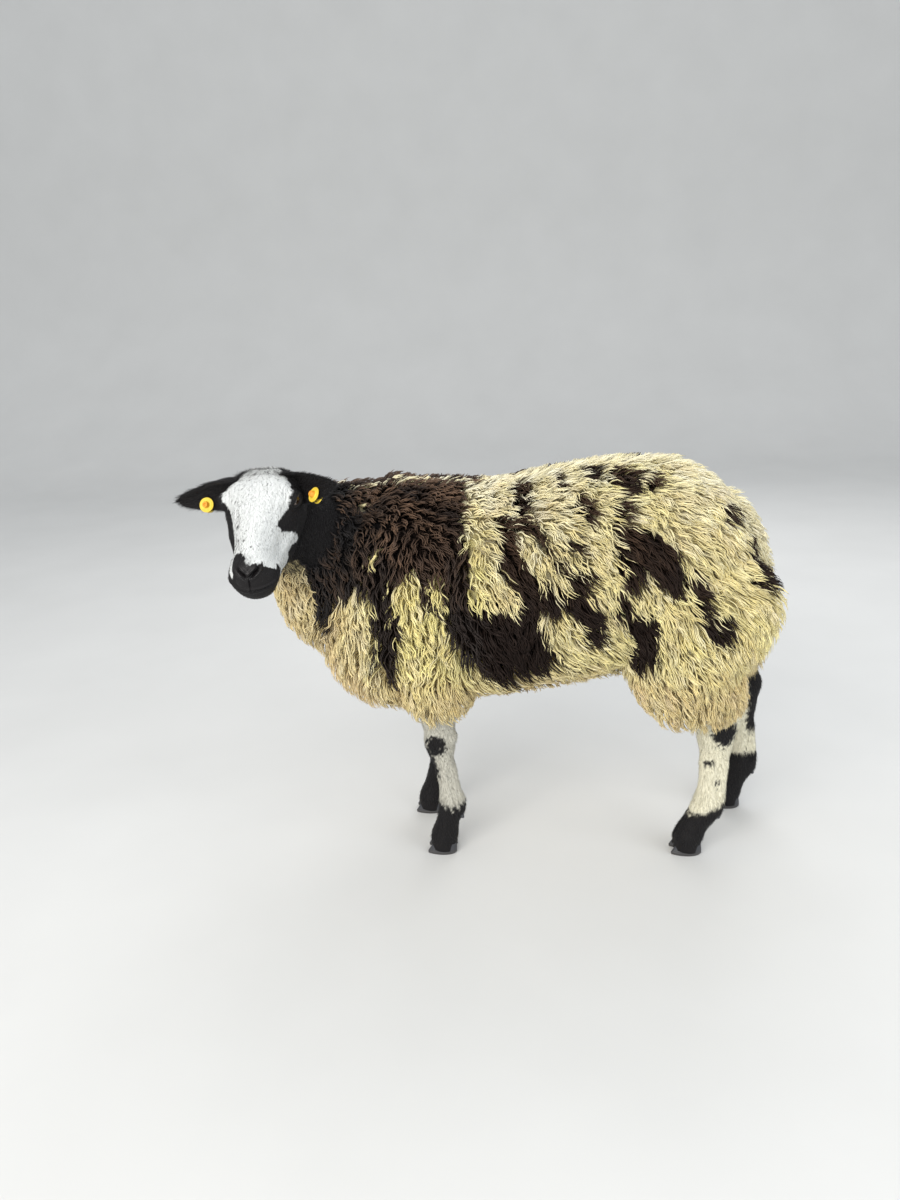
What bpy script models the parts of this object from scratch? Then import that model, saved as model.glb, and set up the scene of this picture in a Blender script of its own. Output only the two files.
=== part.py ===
"""A Dutch spotted ram lamb, life size, standing with its head turned to its left.

The animal faces -X, its left side faces -Y and +Z is up. It is laid out about the middle of its four
hooves, and at the end everything is moved by FRAME_SHIFT, so that the origin lies on the floor under the
middle of the whole figure. All sizes are metres.
"""

import math
import random

import bmesh
import bpy
import numpy as np
from mathutils import Matrix, Vector
from mathutils.bvhtree import BVHTree

# The whole figure
FRAME_SHIFT = (0.144, 0.0625, 0.0)
GAP = 0.0003

# Depth of the fleece over the skin
WOOL_BACK = 0.045
WOOL_SIDE = 0.056
WOOL_CHEST = 0.068
WOOL_INNER = 0.012
CORE_SHARE = 0.5

# Clumps of wool: size of one, how far they stand apart, and how they lie
CLUMP_LENGTH = 0.134
CLUMP_WIDTH = 0.112
CLUMP_SPACING = 0.096
CLUMP_SINK = 0.012
CLUMP_WRAP = 0.20
CLUMP_LIE = (0.34, 0.0, -0.90)
CLUMP_TURN = 0.35
CLUMP_LEAST = 0.009
CLUMP_SIDES = 5
CLUMP_SEED = 7

# Trunk: place along the body, back line, floor line and half width of the bare body
TRUNK = (
    ("brisket", -0.430, 0.600, 0.390, 0.080),
    ("point of shoulder", -0.370, 0.645, 0.350, 0.112),
    ("withers", -0.270, 0.660, 0.350, 0.132),
    ("ribs", -0.130, 0.655, 0.374, 0.148),
    ("last rib", 0.000, 0.678, 0.396, 0.150),
    ("loin", 0.110, 0.688, 0.418, 0.140),
    ("hips", 0.190, 0.680, 0.436, 0.134),
    ("rump", 0.240, 0.656, 0.446, 0.122),
    ("pin bones", 0.277, 0.612, 0.452, 0.106),
)
TRUNK_CAPS = (0.110, 0.100)
TRUNK_SQUARE = 2.35

# Neck: line of its middle, then half height and half width of the bare neck
NECK = (
    ("chest", -0.300, 0.000, 0.515, 0.130, 0.098),
    ("shoulder", -0.365, -0.010, 0.545, 0.112, 0.084),
    ("middle", -0.420, -0.048, 0.590, 0.090, 0.068),
    ("throat", -0.462, -0.100, 0.640, 0.070, 0.054),
    ("nape", -0.486, -0.145, 0.680, 0.054, 0.046),
)
NECK_CAPS = (0.05, 0.03)

# Legs: line of the middle, then half depth (fore and aft) and half width, from the trunk down
HIND_NEAR = (
    ("hip", 0.205, 0.070, 0.560, 0.100, 0.062),
    ("thigh", 0.194, 0.088, 0.470, 0.104, 0.064),
    ("stifle", 0.194, 0.094, 0.395, 0.082, 0.055),
    ("gaskin", 0.226, 0.090, 0.320, 0.052, 0.042),
    ("above hock", 0.250, 0.088, 0.272, 0.036, 0.027),
    ("hock", 0.253, 0.086, 0.232, 0.033, 0.024),
    ("cannon top", 0.251, 0.085, 0.185, 0.0245, 0.020),
    ("cannon foot", 0.247, 0.085, 0.120, 0.0235, 0.020),
    ("fetlock", 0.241, 0.085, 0.090, 0.0275, 0.025),
    ("pastern", 0.222, 0.085, 0.058, 0.0235, 0.024),
    ("coronet", 0.209, 0.085, 0.030, 0.0260, 0.0270),
    ("inside the claws", 0.206, 0.085, 0.006, 0.0260, 0.0270),
)
HIND_FAR_HOCK_MOVE = 0.082
HIND_FAR_FOOT_MOVE = 0.110
FORE_NEAR = (
    ("shoulder", -0.275, 0.070, 0.500, 0.080, 0.050),
    ("elbow", -0.250, 0.082, 0.400, 0.062, 0.044),
    ("forearm", -0.248, 0.082, 0.320, 0.042, 0.034),
    ("above knee", -0.247, 0.080, 0.262, 0.029, 0.026),
    ("knee", -0.246, 0.078, 0.222, 0.0265, 0.0255),
    ("cannon top", -0.241, 0.077, 0.180, 0.0185, 0.019),
    ("cannon foot", -0.234, 0.076, 0.125, 0.0180, 0.0185),
    ("fetlock", -0.231, 0.076, 0.095, 0.0240, 0.0235),
    ("pastern", -0.240, 0.076, 0.060, 0.0220, 0.0235),
    ("coronet", -0.248, 0.076, 0.030, 0.0255, 0.0265),
    ("inside the claws", -0.250, 0.076, 0.006, 0.0255, 0.0265),
)
FORE_FAR_KNEE_MOVE = -0.018
FORE_FAR_FOOT_MOVE = -0.038
LEG_CAPS = (0.06, 0.002)
WOOL_ENDS_HIND = (0.262, 0.330)
WOOL_ENDS_FORE = (0.284, 0.345)

# Feet: two claws on each
CLAW_LENGTH = 0.058
CLAW_WIDTH = 0.0235
CLAW_CLEFT = 0.004
CLAW_LEAN = 0.018
CORONET_HEIGHT = 0.024
CORONET_SLOPE = 0.16

# Tail, docked to the hocks' upper third and hanging on the rump
TAIL = (
    ("dock", 0.246, 0.000, 0.636, 0.026, 0.030),
    ("root", 0.288, 0.000, 0.592, 0.022, 0.028),
    ("middle", 0.316, 0.000, 0.520, 0.017, 0.022),
    ("end", 0.330, 0.000, 0.440, 0.010, 0.014),
)
TAIL_WOOL = 0.027
TAIL_SPACING = 0.086

# Purse, hanging between the thighs
FOOT_AHEAD = 0.006
PURSE_TOP = (0.215, 0.000, 0.462)
PURSE_DROP = 0.150
PURSE_HALF_WIDTH = 0.036

# Head: place of the point between the eyes, slope of the face below the level
EYE_LINE = Vector((-0.500, -0.200, 0.713))
FACE_SLOPE = math.radians(35.0)
HEAD_TURN = math.radians(2.0)
# place forward of the eye line, crown, chin, half width, level of the widest part
HEAD = (
    ("occiput", -0.090, -0.008, -0.070, 0.043, -0.032),
    ("poll", -0.068, 0.006, -0.100, 0.054, -0.030),
    ("ears", -0.040, 0.016, -0.122, 0.0600, -0.024),
    ("brow", -0.008, 0.025, -0.129, 0.0615, -0.012),
    ("below eyes", 0.028, 0.026, -0.122, 0.0540, -0.024),
    ("cheek", 0.060, 0.024, -0.105, 0.0450, -0.034),
    ("nose bridge", 0.092, 0.020, -0.085, 0.0375, -0.036),
    ("nostrils", 0.125, 0.013, -0.072, 0.0365, -0.030),
    ("lips", 0.158, 0.007, -0.064, 0.0340, -0.029),
)
HEAD_CAPS = (0.030, 0.022)
HEAD_SIDES = 24
HEAD_RINGS = 20
EYE_RADIUS = 0.0135
EYE_OUT = 0.0490
EYE_LOOK = Vector((0.42, 0.88, 0.20)).normalized()
LID_RADIUS = 0.0172
LID_OPEN_LONG = 0.0125
LID_OPEN_HIGH = 0.0070
MOUTH_DEPTH = 0.0018

# Ears
EAR_ROOT = (-0.050, 0.046, -0.018)
EAR_LENGTH = 0.112
EAR_HALF_WIDTH = 0.0245
EAR_THICK = 0.0032
EAR_LEFT_AXIS = Vector((0.735, -0.65, 0.19)).normalized()
EAR_LEFT_FACES = Vector((-0.66, -0.75, -0.05))
EAR_RIGHT_AXIS = Vector((-0.975, 0.11, -0.10)).normalized()
EAR_RIGHT_FACES = Vector((0.10, -0.98, -0.18))

# Ear tags: a flat round cap on the inner face, a pin through the ear and a disc behind
TAG_ALONG = 0.58
TAG_ACROSS = 0.68
TAG_CAP_RADIUS = 0.0125
TAG_CAP_LIFT = 0.0034
TAG_CAP_THICK = 0.0022
TAG_BOSS_RADIUS = 0.0052
TAG_BOSS_HEIGHT = 0.0085
TAG_PIN_RADIUS = 0.0026
TAG_BACK_RADIUS = 0.0120
TAG_BACK_DROP = 0.0040


def smooth_rows(rows, share):
    """The numbers of the named rows at a share of the way along them, by a smooth curve through all."""
    table = np.array([row[1:] for row in rows], float)
    centres = table[:, : 3 if table.shape[1] >= 5 else 1]
    steps = np.linalg.norm(np.diff(centres, axis=0), axis=1)
    knots = np.concatenate([[0.0], np.cumsum(steps)])
    knots /= knots[-1]
    slopes = np.gradient(table, knots, axis=0)
    i = min(int(np.searchsorted(knots, share, side="right")) - 1, len(knots) - 2)
    i = max(i, 0)
    width = knots[i + 1] - knots[i]
    t = (share - knots[i]) / width
    return (
        table[i] * (1 + 2 * t) * (1 - t) ** 2
        + slopes[i] * width * t * (1 - t) ** 2
        + table[i + 1] * t * t * (3 - 2 * t)
        + slopes[i + 1] * width * t * t * (t - 1)
    )


def line_length(rows):
    table = np.array([row[1:] for row in rows], float)
    centres = table[:, : 3 if table.shape[1] >= 5 else 1]
    return float(np.linalg.norm(np.diff(centres, axis=0), axis=1).sum())


def cap_factor(share, length, caps):
    """How far a ring has opened at this place, when both ends are rounded over the given lengths."""
    opened = 1.0
    for distance, cap in ((share * length, caps[0]), ((1 - share) * length, caps[1])):
        if distance < cap:
            opened *= math.sqrt(max(1 - (1 - distance / cap) ** 2, 0.0))
    return max(opened, 0.02)


def cap_shares(length, caps, rings):
    """Shares along a form, close together where its ends are rounded."""
    ends = [caps[0] * (1 - math.cos(math.pi / 2 * k / 4)) / length for k in range(1, 4)]
    tails = [1 - caps[1] * (1 - math.cos(math.pi / 2 * k / 4)) / length for k in range(3, 0, -1)]
    middle = np.linspace(caps[0] / length, 1 - caps[1] / length, rings)
    return [0.0015, *ends, *middle, *tails, 0.9985]


def oval(sides, square=2.0):
    """Unit points round an oval, from its side over the top, squarer as the power grows."""
    turns = np.arange(sides) * 2 * math.pi / sides
    power = 2 / square
    across = np.sign(np.cos(turns)) * np.abs(np.cos(turns)) ** power
    up = np.sign(np.sin(turns)) * np.abs(np.sin(turns)) ** power
    return across, up


def trunk_rings(sides, rings):
    across, up = oval(sides, TRUNK_SQUARE)
    length = line_length(TRUNK)
    made = []
    for share in cap_shares(length, TRUNK_CAPS, rings):
        x, back, floor, half = smooth_rows(TRUNK, share)
        opened = cap_factor(share, length, TRUNK_CAPS)
        middle = (back + floor) / 2
        high = (back - floor) / 2
        made.append(
            np.stack(
                [
                    np.full(sides, x),
                    across * half * opened,
                    middle + up * high * opened,
                ],
                axis=1,
            )
        )
    return np.array(made)


def limb_rings(rows, sides, rings, caps, side_hint):
    """Rings of an oval carried square to a line. side_hint is the direction of its half width."""
    across, up = oval(sides)
    length = line_length(rows)
    made = []
    for share in cap_shares(length, caps, rings):
        now = smooth_rows(rows, share)
        nudge = 0.01
        ahead = smooth_rows(rows, min(share + nudge, 1.0))[:3]
        behind = smooth_rows(rows, max(share - nudge, 0.0))[:3]
        along = Vector(ahead - behind).normalized()
        side = Vector(side_hint) if side_hint else Vector((0, 0, 1)).cross(along)
        side = (side - along * side.dot(along)).normalized()
        rise = along.cross(side).normalized()
        opened = cap_factor(share, length, caps)
        made.append(
            now[:3]
            + np.outer(across * now[4] * opened, side)
            + np.outer(up * now[3] * opened, rise)
        )
    return np.array(made)


def mirror_side(rows, side, shift_hock=0.0, shift_foot=0.0):
    """A leg's rows put on one side of the body, its hock or knee and its foot moved along the body."""
    moved = []
    for name, x, y, z, depth, half in rows:
        shift = shift_hock * ease(0.50, 0.28, z) + (shift_foot - shift_hock) * ease(0.26, 0.0, z)
        moved.append((name, x + shift, side * y, z, depth, half))
    return tuple(moved)


def new_object(name, points, faces):
    mesh = bpy.data.meshes.new(name)
    mesh.from_pydata([tuple(p) for p in points], [], faces)
    shape = bmesh.new()
    shape.from_mesh(mesh)
    bmesh.ops.remove_doubles(shape, verts=shape.verts, dist=1e-5)
    bmesh.ops.recalc_face_normals(shape, faces=shape.faces)
    bmesh.ops.triangulate(shape, faces=shape.faces)
    shape.to_mesh(mesh)
    shape.free()
    obj = bpy.data.objects.new(name, mesh)
    bpy.context.scene.collection.objects.link(obj)
    return obj


def loft(name, rings, ends=None):
    """A closed form through rings of equal point counts, closed at each end to a point."""
    count, sides = rings.shape[:2]
    ends = ends or (rings[0].mean(axis=0), rings[-1].mean(axis=0))
    points = [*rings.reshape(-1, 3), *ends]
    faces = []
    for i in range(count - 1):
        for j in range(sides):
            k = (j + 1) % sides
            faces.append((i * sides + j, i * sides + k, (i + 1) * sides + k, (i + 1) * sides + j))
    first = count * sides
    last = (count - 1) * sides
    for j in range(sides):
        k = (j + 1) % sides
        faces.append((first, k, j))
        faces.append((first + 1, last + j, last + k))
    return new_object(name, points, faces)


def puff(obj, depth):
    """Moves every point out along its normal. depth is a distance or a function of place and normal."""
    moved = []
    for vertex in obj.data.vertices:
        far = depth(vertex.co, vertex.normal) if callable(depth) else depth
        moved.append(vertex.co + vertex.normal * far)
    for vertex, place in zip(obj.data.vertices, moved):
        vertex.co = place
    obj.data.update()
    return obj


def ease(low, high, value):
    t = min(max((value - low) / (high - low), 0.0), 1.0)
    return t * t * (3 - 2 * t)


def wool_depth(place, normal):
    """Depth of the fleece on the trunk, neck and tail."""
    depth = WOOL_BACK + (WOOL_SIDE - WOOL_BACK) * ease(0.68, 0.60, place.z)
    depth += (WOOL_CHEST - depth) * ease(-0.24, -0.36, place.x) * ease(0.70, 0.60, place.z)
    return depth


def neck_wool(place, normal):
    """Depth of the fleece on the neck, which thins towards the head."""
    return wool_depth(place, normal) * (0.36 + 0.64 * ease(0.10, 0.27, (place - EYE_LINE).length))


def leg_wool(side, ends):
    """Depth of the fleece on a leg: none below its lower end, and little on the leg's inner face."""

    def depth(place, normal):
        outer = ease(-0.5, 0.3, normal.y * side)
        full = WOOL_INNER + (WOOL_SIDE - WOOL_INNER) * outer
        full *= 1 - 0.45 * ease(0.1, 0.9, abs(normal.x)) * ease(0.47, 0.38, place.z)
        return full * ease(ends[0], ends[1], place.z)

    return depth


def scaled(depth, share):
    return lambda place, normal: depth(place, normal) * share


def boolean(obj, other, operation, solver="MANIFOLD"):
    """Applies one Boolean with another object, or with a collection of them, and removes what it used."""
    modifier = obj.modifiers.new("join", "BOOLEAN")
    modifier.operation = operation
    modifier.solver = solver
    if isinstance(other, bpy.types.Collection):
        modifier.operand_type = "COLLECTION"
        modifier.collection = other
    else:
        modifier.object = other
    bpy.context.view_layer.objects.active = obj
    bpy.ops.object.modifier_apply(modifier=modifier.name)
    used = list(other.objects) if isinstance(other, bpy.types.Collection) else [other]
    for piece in used:
        bpy.data.objects.remove(piece)
    if isinstance(other, bpy.types.Collection):
        bpy.data.collections.remove(other)
    return obj


def union_all(obj, pieces):
    """Joins an object with all the pieces in one Boolean union."""
    pool = bpy.data.collections.new("pieces")
    bpy.context.scene.collection.children.link(pool)
    for piece in pieces:
        bpy.context.scene.collection.objects.unlink(piece)
        pool.objects.link(piece)
    return boolean(obj, pool, "UNION", "MANIFOLD")


def copy_of(obj, name):
    twin = obj.copy()
    twin.data = obj.data.copy()
    twin.name = name
    bpy.context.scene.collection.objects.link(twin)
    return twin


def keep_largest(obj):
    """Keeps the largest closed surface of a mesh and drops the loose scraps and sealed hollows."""
    shape = bmesh.new()
    shape.from_mesh(obj.data)
    bmesh.ops.triangulate(shape, faces=shape.faces)
    waiting = set(shape.faces)
    groups = []
    while waiting:
        rim = [waiting.pop()]
        group = list(rim)
        while rim:
            for edge in rim.pop().edges:
                for face in edge.link_faces:
                    if face in waiting:
                        waiting.discard(face)
                        group.append(face)
                        rim.append(face)
        groups.append(group)
    groups.sort(key=len)
    for group in groups[:-1]:
        bmesh.ops.delete(shape, geom=group, context="FACES")
    shape.to_mesh(obj.data)
    shape.free()
    return obj


def block(name, corners):
    """A closed six-sided block. corners are four points below, then four above in the same order."""
    faces = [(3, 2, 1, 0), (4, 5, 6, 7), (0, 1, 5, 4), (1, 2, 6, 5), (2, 3, 7, 6), (3, 0, 4, 7)]
    return new_object(name, corners, faces)


def material(name, colour, roughness):
    made = bpy.data.materials.new(name)
    made.use_nodes = True
    shader = made.node_tree.nodes["Principled BSDF"]
    shader.inputs["Base Color"].default_value = (*colour, 1.0)
    shader.inputs["Roughness"].default_value = roughness
    shader.inputs["Metallic"].default_value = 0.0
    return made


def finish(obj, made, smooth=True):
    obj.data.materials.clear()
    obj.data.materials.append(made)
    if smooth:
        obj.data.shade_smooth()
        obj.data.set_sharp_from_angle(angle=math.radians(50))


# The head's own directions: forward along the face, to the animal's left, and out of the forehead
FORWARD = Vector((math.sin(HEAD_TURN) * math.cos(FACE_SLOPE), -math.cos(HEAD_TURN) * math.cos(FACE_SLOPE),
                  -math.sin(FACE_SLOPE)))
LEFT = Vector((math.cos(HEAD_TURN), math.sin(HEAD_TURN), 0))
CROWN = LEFT.cross(FORWARD) * -1
HEAD_FRAME = Matrix((FORWARD, LEFT, CROWN)).transposed()


def on_head(forward, left, crown):
    return EYE_LINE + HEAD_FRAME @ Vector((forward, left, crown))


def head_rings(sides, rings):
    """Rings of the head, broad and flat on the forehead and narrower over the nose."""
    length = line_length([(n, a) for n, a, *_ in HEAD])
    turns = np.arange(sides) * 2 * math.pi / sides
    made = []
    for share in cap_shares(length, HEAD_CAPS, rings):
        forward, crown, chin, half, widest = smooth_rows_head(share)
        opened = cap_factor(share, length, HEAD_CAPS)
        nose = ease(0.0, 0.09, forward)
        power = 2 / (2.5 - 0.25 * nose)
        across = np.sign(np.cos(turns)) * np.abs(np.cos(turns)) ** power
        up = np.sign(np.sin(turns)) * np.abs(np.sin(turns)) ** power
        taper = 1 - (0.08 + 0.16 * nose) * np.clip(up, 0, 1) - 0.13 * np.clip(-up, 0, 1) ** 1.5
        high = np.where(up > 0, crown - widest, widest - chin)
        middle = (crown + chin) / 2 * (1 - opened)
        points = [
            on_head(forward, left, level)
            for left, level in zip(
                across * half * taper * opened, middle + (widest + up * high) * opened
            )
        ]
        made.append(np.array(points))
    return np.array(made)


def smooth_rows_head(share):
    """The head's row at a share of its length, measured along the face alone."""
    table = np.array([row[1:] for row in HEAD], float)
    knots = (table[:, 0] - table[0, 0]) / (table[-1, 0] - table[0, 0])
    slopes = np.gradient(table, knots, axis=0)
    i = max(min(int(np.searchsorted(knots, share, side="right")) - 1, len(knots) - 2), 0)
    width = knots[i + 1] - knots[i]
    t = (share - knots[i]) / width
    return (
        table[i] * (1 + 2 * t) * (1 - t) ** 2
        + slopes[i] * width * t * (1 - t) ** 2
        + table[i + 1] * t * t * (3 - 2 * t)
        + slopes[i + 1] * width * t * t * (t - 1)
    )


def ball(name, centre, radius, segments=20, rings=12):
    shape = bmesh.new()
    bmesh.ops.create_uvsphere(shape, u_segments=segments, v_segments=rings, radius=radius)
    bmesh.ops.translate(shape, verts=shape.verts, vec=centre)
    mesh = bpy.data.meshes.new(name)
    shape.to_mesh(mesh)
    shape.free()
    obj = bpy.data.objects.new(name, mesh)
    bpy.context.scene.collection.objects.link(obj)
    return obj


def groove(name, path, radius):
    """A round bar along a path, for cutting a groove."""
    curve = bpy.data.curves.new(name, "CURVE")
    curve.dimensions = "3D"
    curve.bevel_depth = radius
    curve.bevel_resolution = 1
    curve.use_fill_caps = True
    spline = curve.splines.new("POLY")
    spline.points.add(len(path) - 1)
    for point, place in zip(spline.points, path):
        point.co = (*place, 1.0)
    bar = bpy.data.objects.new(name, curve)
    bpy.context.scene.collection.objects.link(bar)
    mesh = bpy.data.meshes.new_from_object(bar.evaluated_get(bpy.context.evaluated_depsgraph_get()))
    bpy.data.objects.remove(bar)
    shape = bmesh.new()
    shape.from_mesh(mesh)
    bmesh.ops.remove_doubles(shape, verts=shape.verts, dist=1e-6)
    bmesh.ops.recalc_face_normals(shape, faces=shape.faces)
    shape.to_mesh(mesh)
    shape.free()
    obj = bpy.data.objects.new(name, mesh)
    bpy.context.scene.collection.objects.link(obj)
    return obj


def eye_place(side):
    return on_head(0.0, side * EYE_OUT, 0.0)


def lid_place(side):
    return eye_place(side) + eye_look(side) * 0.0005


def eye_look(side):
    return (HEAD_FRAME @ Vector((EYE_LOOK.x, side * EYE_LOOK.y, EYE_LOOK.z))).normalized()


def lid_opening(name, side):
    """An almond-shaped bar through the lids, along the way the eye looks."""
    look = eye_look(side)
    long_way = (FORWARD * 0.96 - CROWN * 0.20 - look * (FORWARD * 0.96 - CROWN * 0.20).dot(look)).normalized()
    high_way = look.cross(long_way)
    steps = 14
    rings = []
    for depth in (0.004, 0.030):
        ring = []
        for k in range(steps):
            turn = 2 * math.pi * k / steps
            along = math.cos(turn)
            high = math.sin(turn) * (1 - 0.25 * abs(along))
            ring.append(
                eye_place(side)
                + look * depth
                + long_way * along * LID_OPEN_LONG
                + high_way * high * LID_OPEN_HIGH
            )
        rings.append(np.array(ring))
    return loft(name, np.array(rings))


MOUTH = (
    # place forward and level aimed at from the middle of the muzzle, from the front back to the corner
    (0.172, 0.000, -0.0300),
    (0.170, 0.010, -0.0300),
    (0.165, 0.022, -0.0310),
    (0.150, 0.036, -0.0325),
    (0.132, 0.045, -0.0325),
    (0.115, 0.045, -0.0300),
    (0.106, 0.045, -0.0240),
)
NOSTRIL = (
    # along the opening, from beside the tip of the nose out and up, with its half length and half height
    (0.172, 0.0045, -0.0060, 0.40),
    (0.166, 0.0120, -0.0025, 1.00),
    (0.156, 0.0200, 0.0010, 0.90),
    (0.146, 0.0250, 0.0045, 0.35),
)
NOSTRIL_HALF = (0.0075, 0.0040)


def surface_finder(obj):
    """Gives a function from a place in the head's directions to the point of the skin in line with it."""
    obj.data.calc_loop_triangles()
    tree = BVHTree.FromPolygons([v.co for v in obj.data.vertices], [t.vertices for t in obj.data.loop_triangles])

    def find(forward, left, level, start):
        middle = on_head(start, 0.0, level)
        aim = on_head(forward, left, level)
        hit = tree.ray_cast(middle, (aim - middle).normalized())
        return hit[0] if hit[0] else aim

    return find


def mouth_path(find, side):
    """The line of the mouth on the skin, from under the nose back along the lip."""
    return [find(forward, side * left, level, min(forward, 0.120)) for forward, left, level in MOUTH]


def nostril(name, find, side):
    """A slanting, comma-shaped hollow beside the tip of the nose."""
    steps = 8
    rings = []
    for forward, left, level, size in NOSTRIL:
        centre = find(forward, side * left, level, 0.120)
        ring = []
        for j in range(steps):
            turn = 2 * math.pi * j / steps
            inward = FORWARD * NOSTRIL_HALF[0] * size * math.cos(turn)
            ring.append(centre + inward + CROWN * NOSTRIL_HALF[1] * size * math.sin(turn))
        rings.append(np.array(ring))
    return loft(name, np.array(rings))


def make_head():
    head = loft("head", head_rings(HEAD_SIDES, HEAD_RINGS))
    find = surface_finder(head)
    mouths = [mouth_path(find, side) for side in (-1, 1)]
    nostrils = [nostril("nostril", find, side) for side in (-1, 1)]
    cleft = [find(0.170, 0.0, level, 0.120) for level in (-0.008, -0.018, -0.030)]
    mounds = [ball("mound", lid_place(s), LID_RADIUS, 18, 12) for s in (-1, 1)]
    union_all(head, mounds)
    for side, mouth, hollow in zip((-1, 1), mouths, nostrils):
        boolean(head, ball("socket", eye_place(side), EYE_RADIUS + 2 * GAP, 16, 10), "DIFFERENCE")
        boolean(head, lid_opening("opening", side), "DIFFERENCE")
        boolean(head, hollow, "DIFFERENCE")
        boolean(head, groove("mouth", mouth, MOUTH_DEPTH), "DIFFERENCE")
    boolean(head, groove("lip cleft", cleft, 0.0014), "DIFFERENCE")
    return keep_largest(head)


def head_room(grow):
    """The plain form of the head with its lids, a little larger all round."""
    room = puff(loft("room", head_rings(HEAD_SIDES, HEAD_RINGS)), grow)
    mounds = [ball("mound", lid_place(s), LID_RADIUS + grow * 1.5, 16, 10) for s in (-1, 1)]
    return union_all(room, mounds)


def make_eye(side, name):
    return ball(name, eye_place(side), EYE_RADIUS, 14, 8)


def ear_frame(side):
    axis = EAR_LEFT_AXIS if side > 0 else EAR_RIGHT_AXIS
    faces = EAR_LEFT_FACES if side > 0 else EAR_RIGHT_FACES
    faces = (faces - axis * faces.dot(axis)).normalized()
    return axis, faces, axis.cross(faces)


def ear_point(side, along, across, depth):
    """A place on the ear: along 0 to 1 from root to tip, across -1 to 1 between its edges, depth outwards."""
    axis, faces, width = ear_frame(side)
    root = on_head(EAR_ROOT[0], side * EAR_ROOT[1], EAR_ROOT[2])
    leaf = math.sin(math.pi * min(0.16 + 0.84 * along, 1.0) ** 0.80) ** 0.62
    half = EAR_HALF_WIDTH * (0.10 + 0.90 * leaf) * (1 - 0.12 * along)
    cup = math.radians(112 - 66 * ease(0.0, 0.6, along))
    radius = half / math.sin(min(cup, math.pi / 2)) if cup < math.pi / 2 else half
    turn = cup * across
    droop = -0.010 * math.sin(math.pi / 2 * along) * 1.0
    place = root + axis * (EAR_LENGTH * along - 0.012 * (1 - along))
    place = place + width * radius * math.sin(turn) + faces * (radius * (1 - math.cos(turn)))
    place = place + Vector((0, 0, 1)) * droop
    outward = width * math.sin(turn) - faces * math.cos(turn)
    return place + outward * depth


def make_ear(side, name):
    """A cupped leaf: an outer and an inner face that meet round the rim."""
    rows, columns = 13, 13
    thick = [EAR_THICK * (1 - 0.45 * k / (rows - 1)) for k in range(rows)]
    points = []
    faces = []
    for layer in (0, 1):
        for i in range(rows):
            for j in range(columns):
                across = -1 + 2 * j / (columns - 1)
                points.append(ear_point(side, i / (rows - 1), across, thick[i] * (1 - layer)))
    size = rows * columns
    for i in range(rows - 1):
        for j in range(columns - 1):
            a = i * columns + j
            faces.append((a, a + 1, a + 1 + columns, a + columns))
            b = a + size
            faces.append((b, b + columns, b + 1 + columns, b + 1))
    for i in range(rows - 1):
        for j in (0, columns - 1):
            a = i * columns + j
            quad = (a, a + columns, a + columns + size, a + size)
            faces.append(quad)
    for j in range(columns - 1):
        for i in (0, rows - 1):
            a = i * columns + j
            faces.append((a, a + 1, a + 1 + size, a + size))
    return new_object(name, points, faces)


def tag_frame(side):
    """The middle of a tag on the ear's inner face, and its outward direction there."""
    across = TAG_ACROSS if side > 0 else -TAG_ACROSS
    inner = ear_point(side, TAG_ALONG, across, 0.0)
    outer = ear_point(side, TAG_ALONG, across, EAR_THICK)
    return inner, (inner - outer).normalized()


def disc(name, centre, axis, radius, low, high, segments=20):
    """A short round bar along an axis, between two heights."""
    shape = bmesh.new()
    bmesh.ops.create_cone(shape, cap_ends=True, segments=segments, radius1=radius, radius2=radius, depth=high - low)
    turn = axis.to_track_quat("Z", "Y").to_matrix().to_4x4()
    place = Matrix.Translation(centre + axis * (low + high) / 2)
    bmesh.ops.transform(shape, matrix=place @ turn, verts=shape.verts)
    bmesh.ops.triangulate(shape, faces=shape.faces)
    mesh = bpy.data.meshes.new(name)
    shape.to_mesh(mesh)
    shape.free()
    obj = bpy.data.objects.new(name, mesh)
    bpy.context.scene.collection.objects.link(obj)
    return obj


def coronet_level(ahead):
    """Height of the coronet over the floor at a distance ahead of the foot's middle."""
    return CORONET_HEIGHT + CORONET_SLOPE * ahead


def make_claw(name, foot, side):
    """One claw: a flat sole on the floor, a wall that leans back from the toe, and a sloping top."""
    steps = 12
    rings = []
    for level in (0.0, 0.16, 0.6, 1.0):
        ring = []
        for k in range(steps):
            angle = 2 * math.pi * k / steps
            toe = 0.5 * (1 + math.cos(angle))
            swell = 0.90 + 0.10 * min(level / 0.16, 1.0) - 0.08 * max(level - 0.6, 0)
            ahead = math.cos(angle) * CLAW_LENGTH / 2 * swell - CLAW_LEAN * level * toe
            wide = math.sin(angle) * CLAW_WIDTH / 2 * swell * (1 - 0.38 * toe ** 2.2)
            middle = side * (CLAW_WIDTH / 2 + CLAW_CLEFT / 2 - 0.0015 * level)
            ring.append((foot[0] - ahead, foot[1] + middle + wide, level * coronet_level(ahead)))
        rings.append(np.array(ring))
    return loft(name, np.array(rings))


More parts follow.
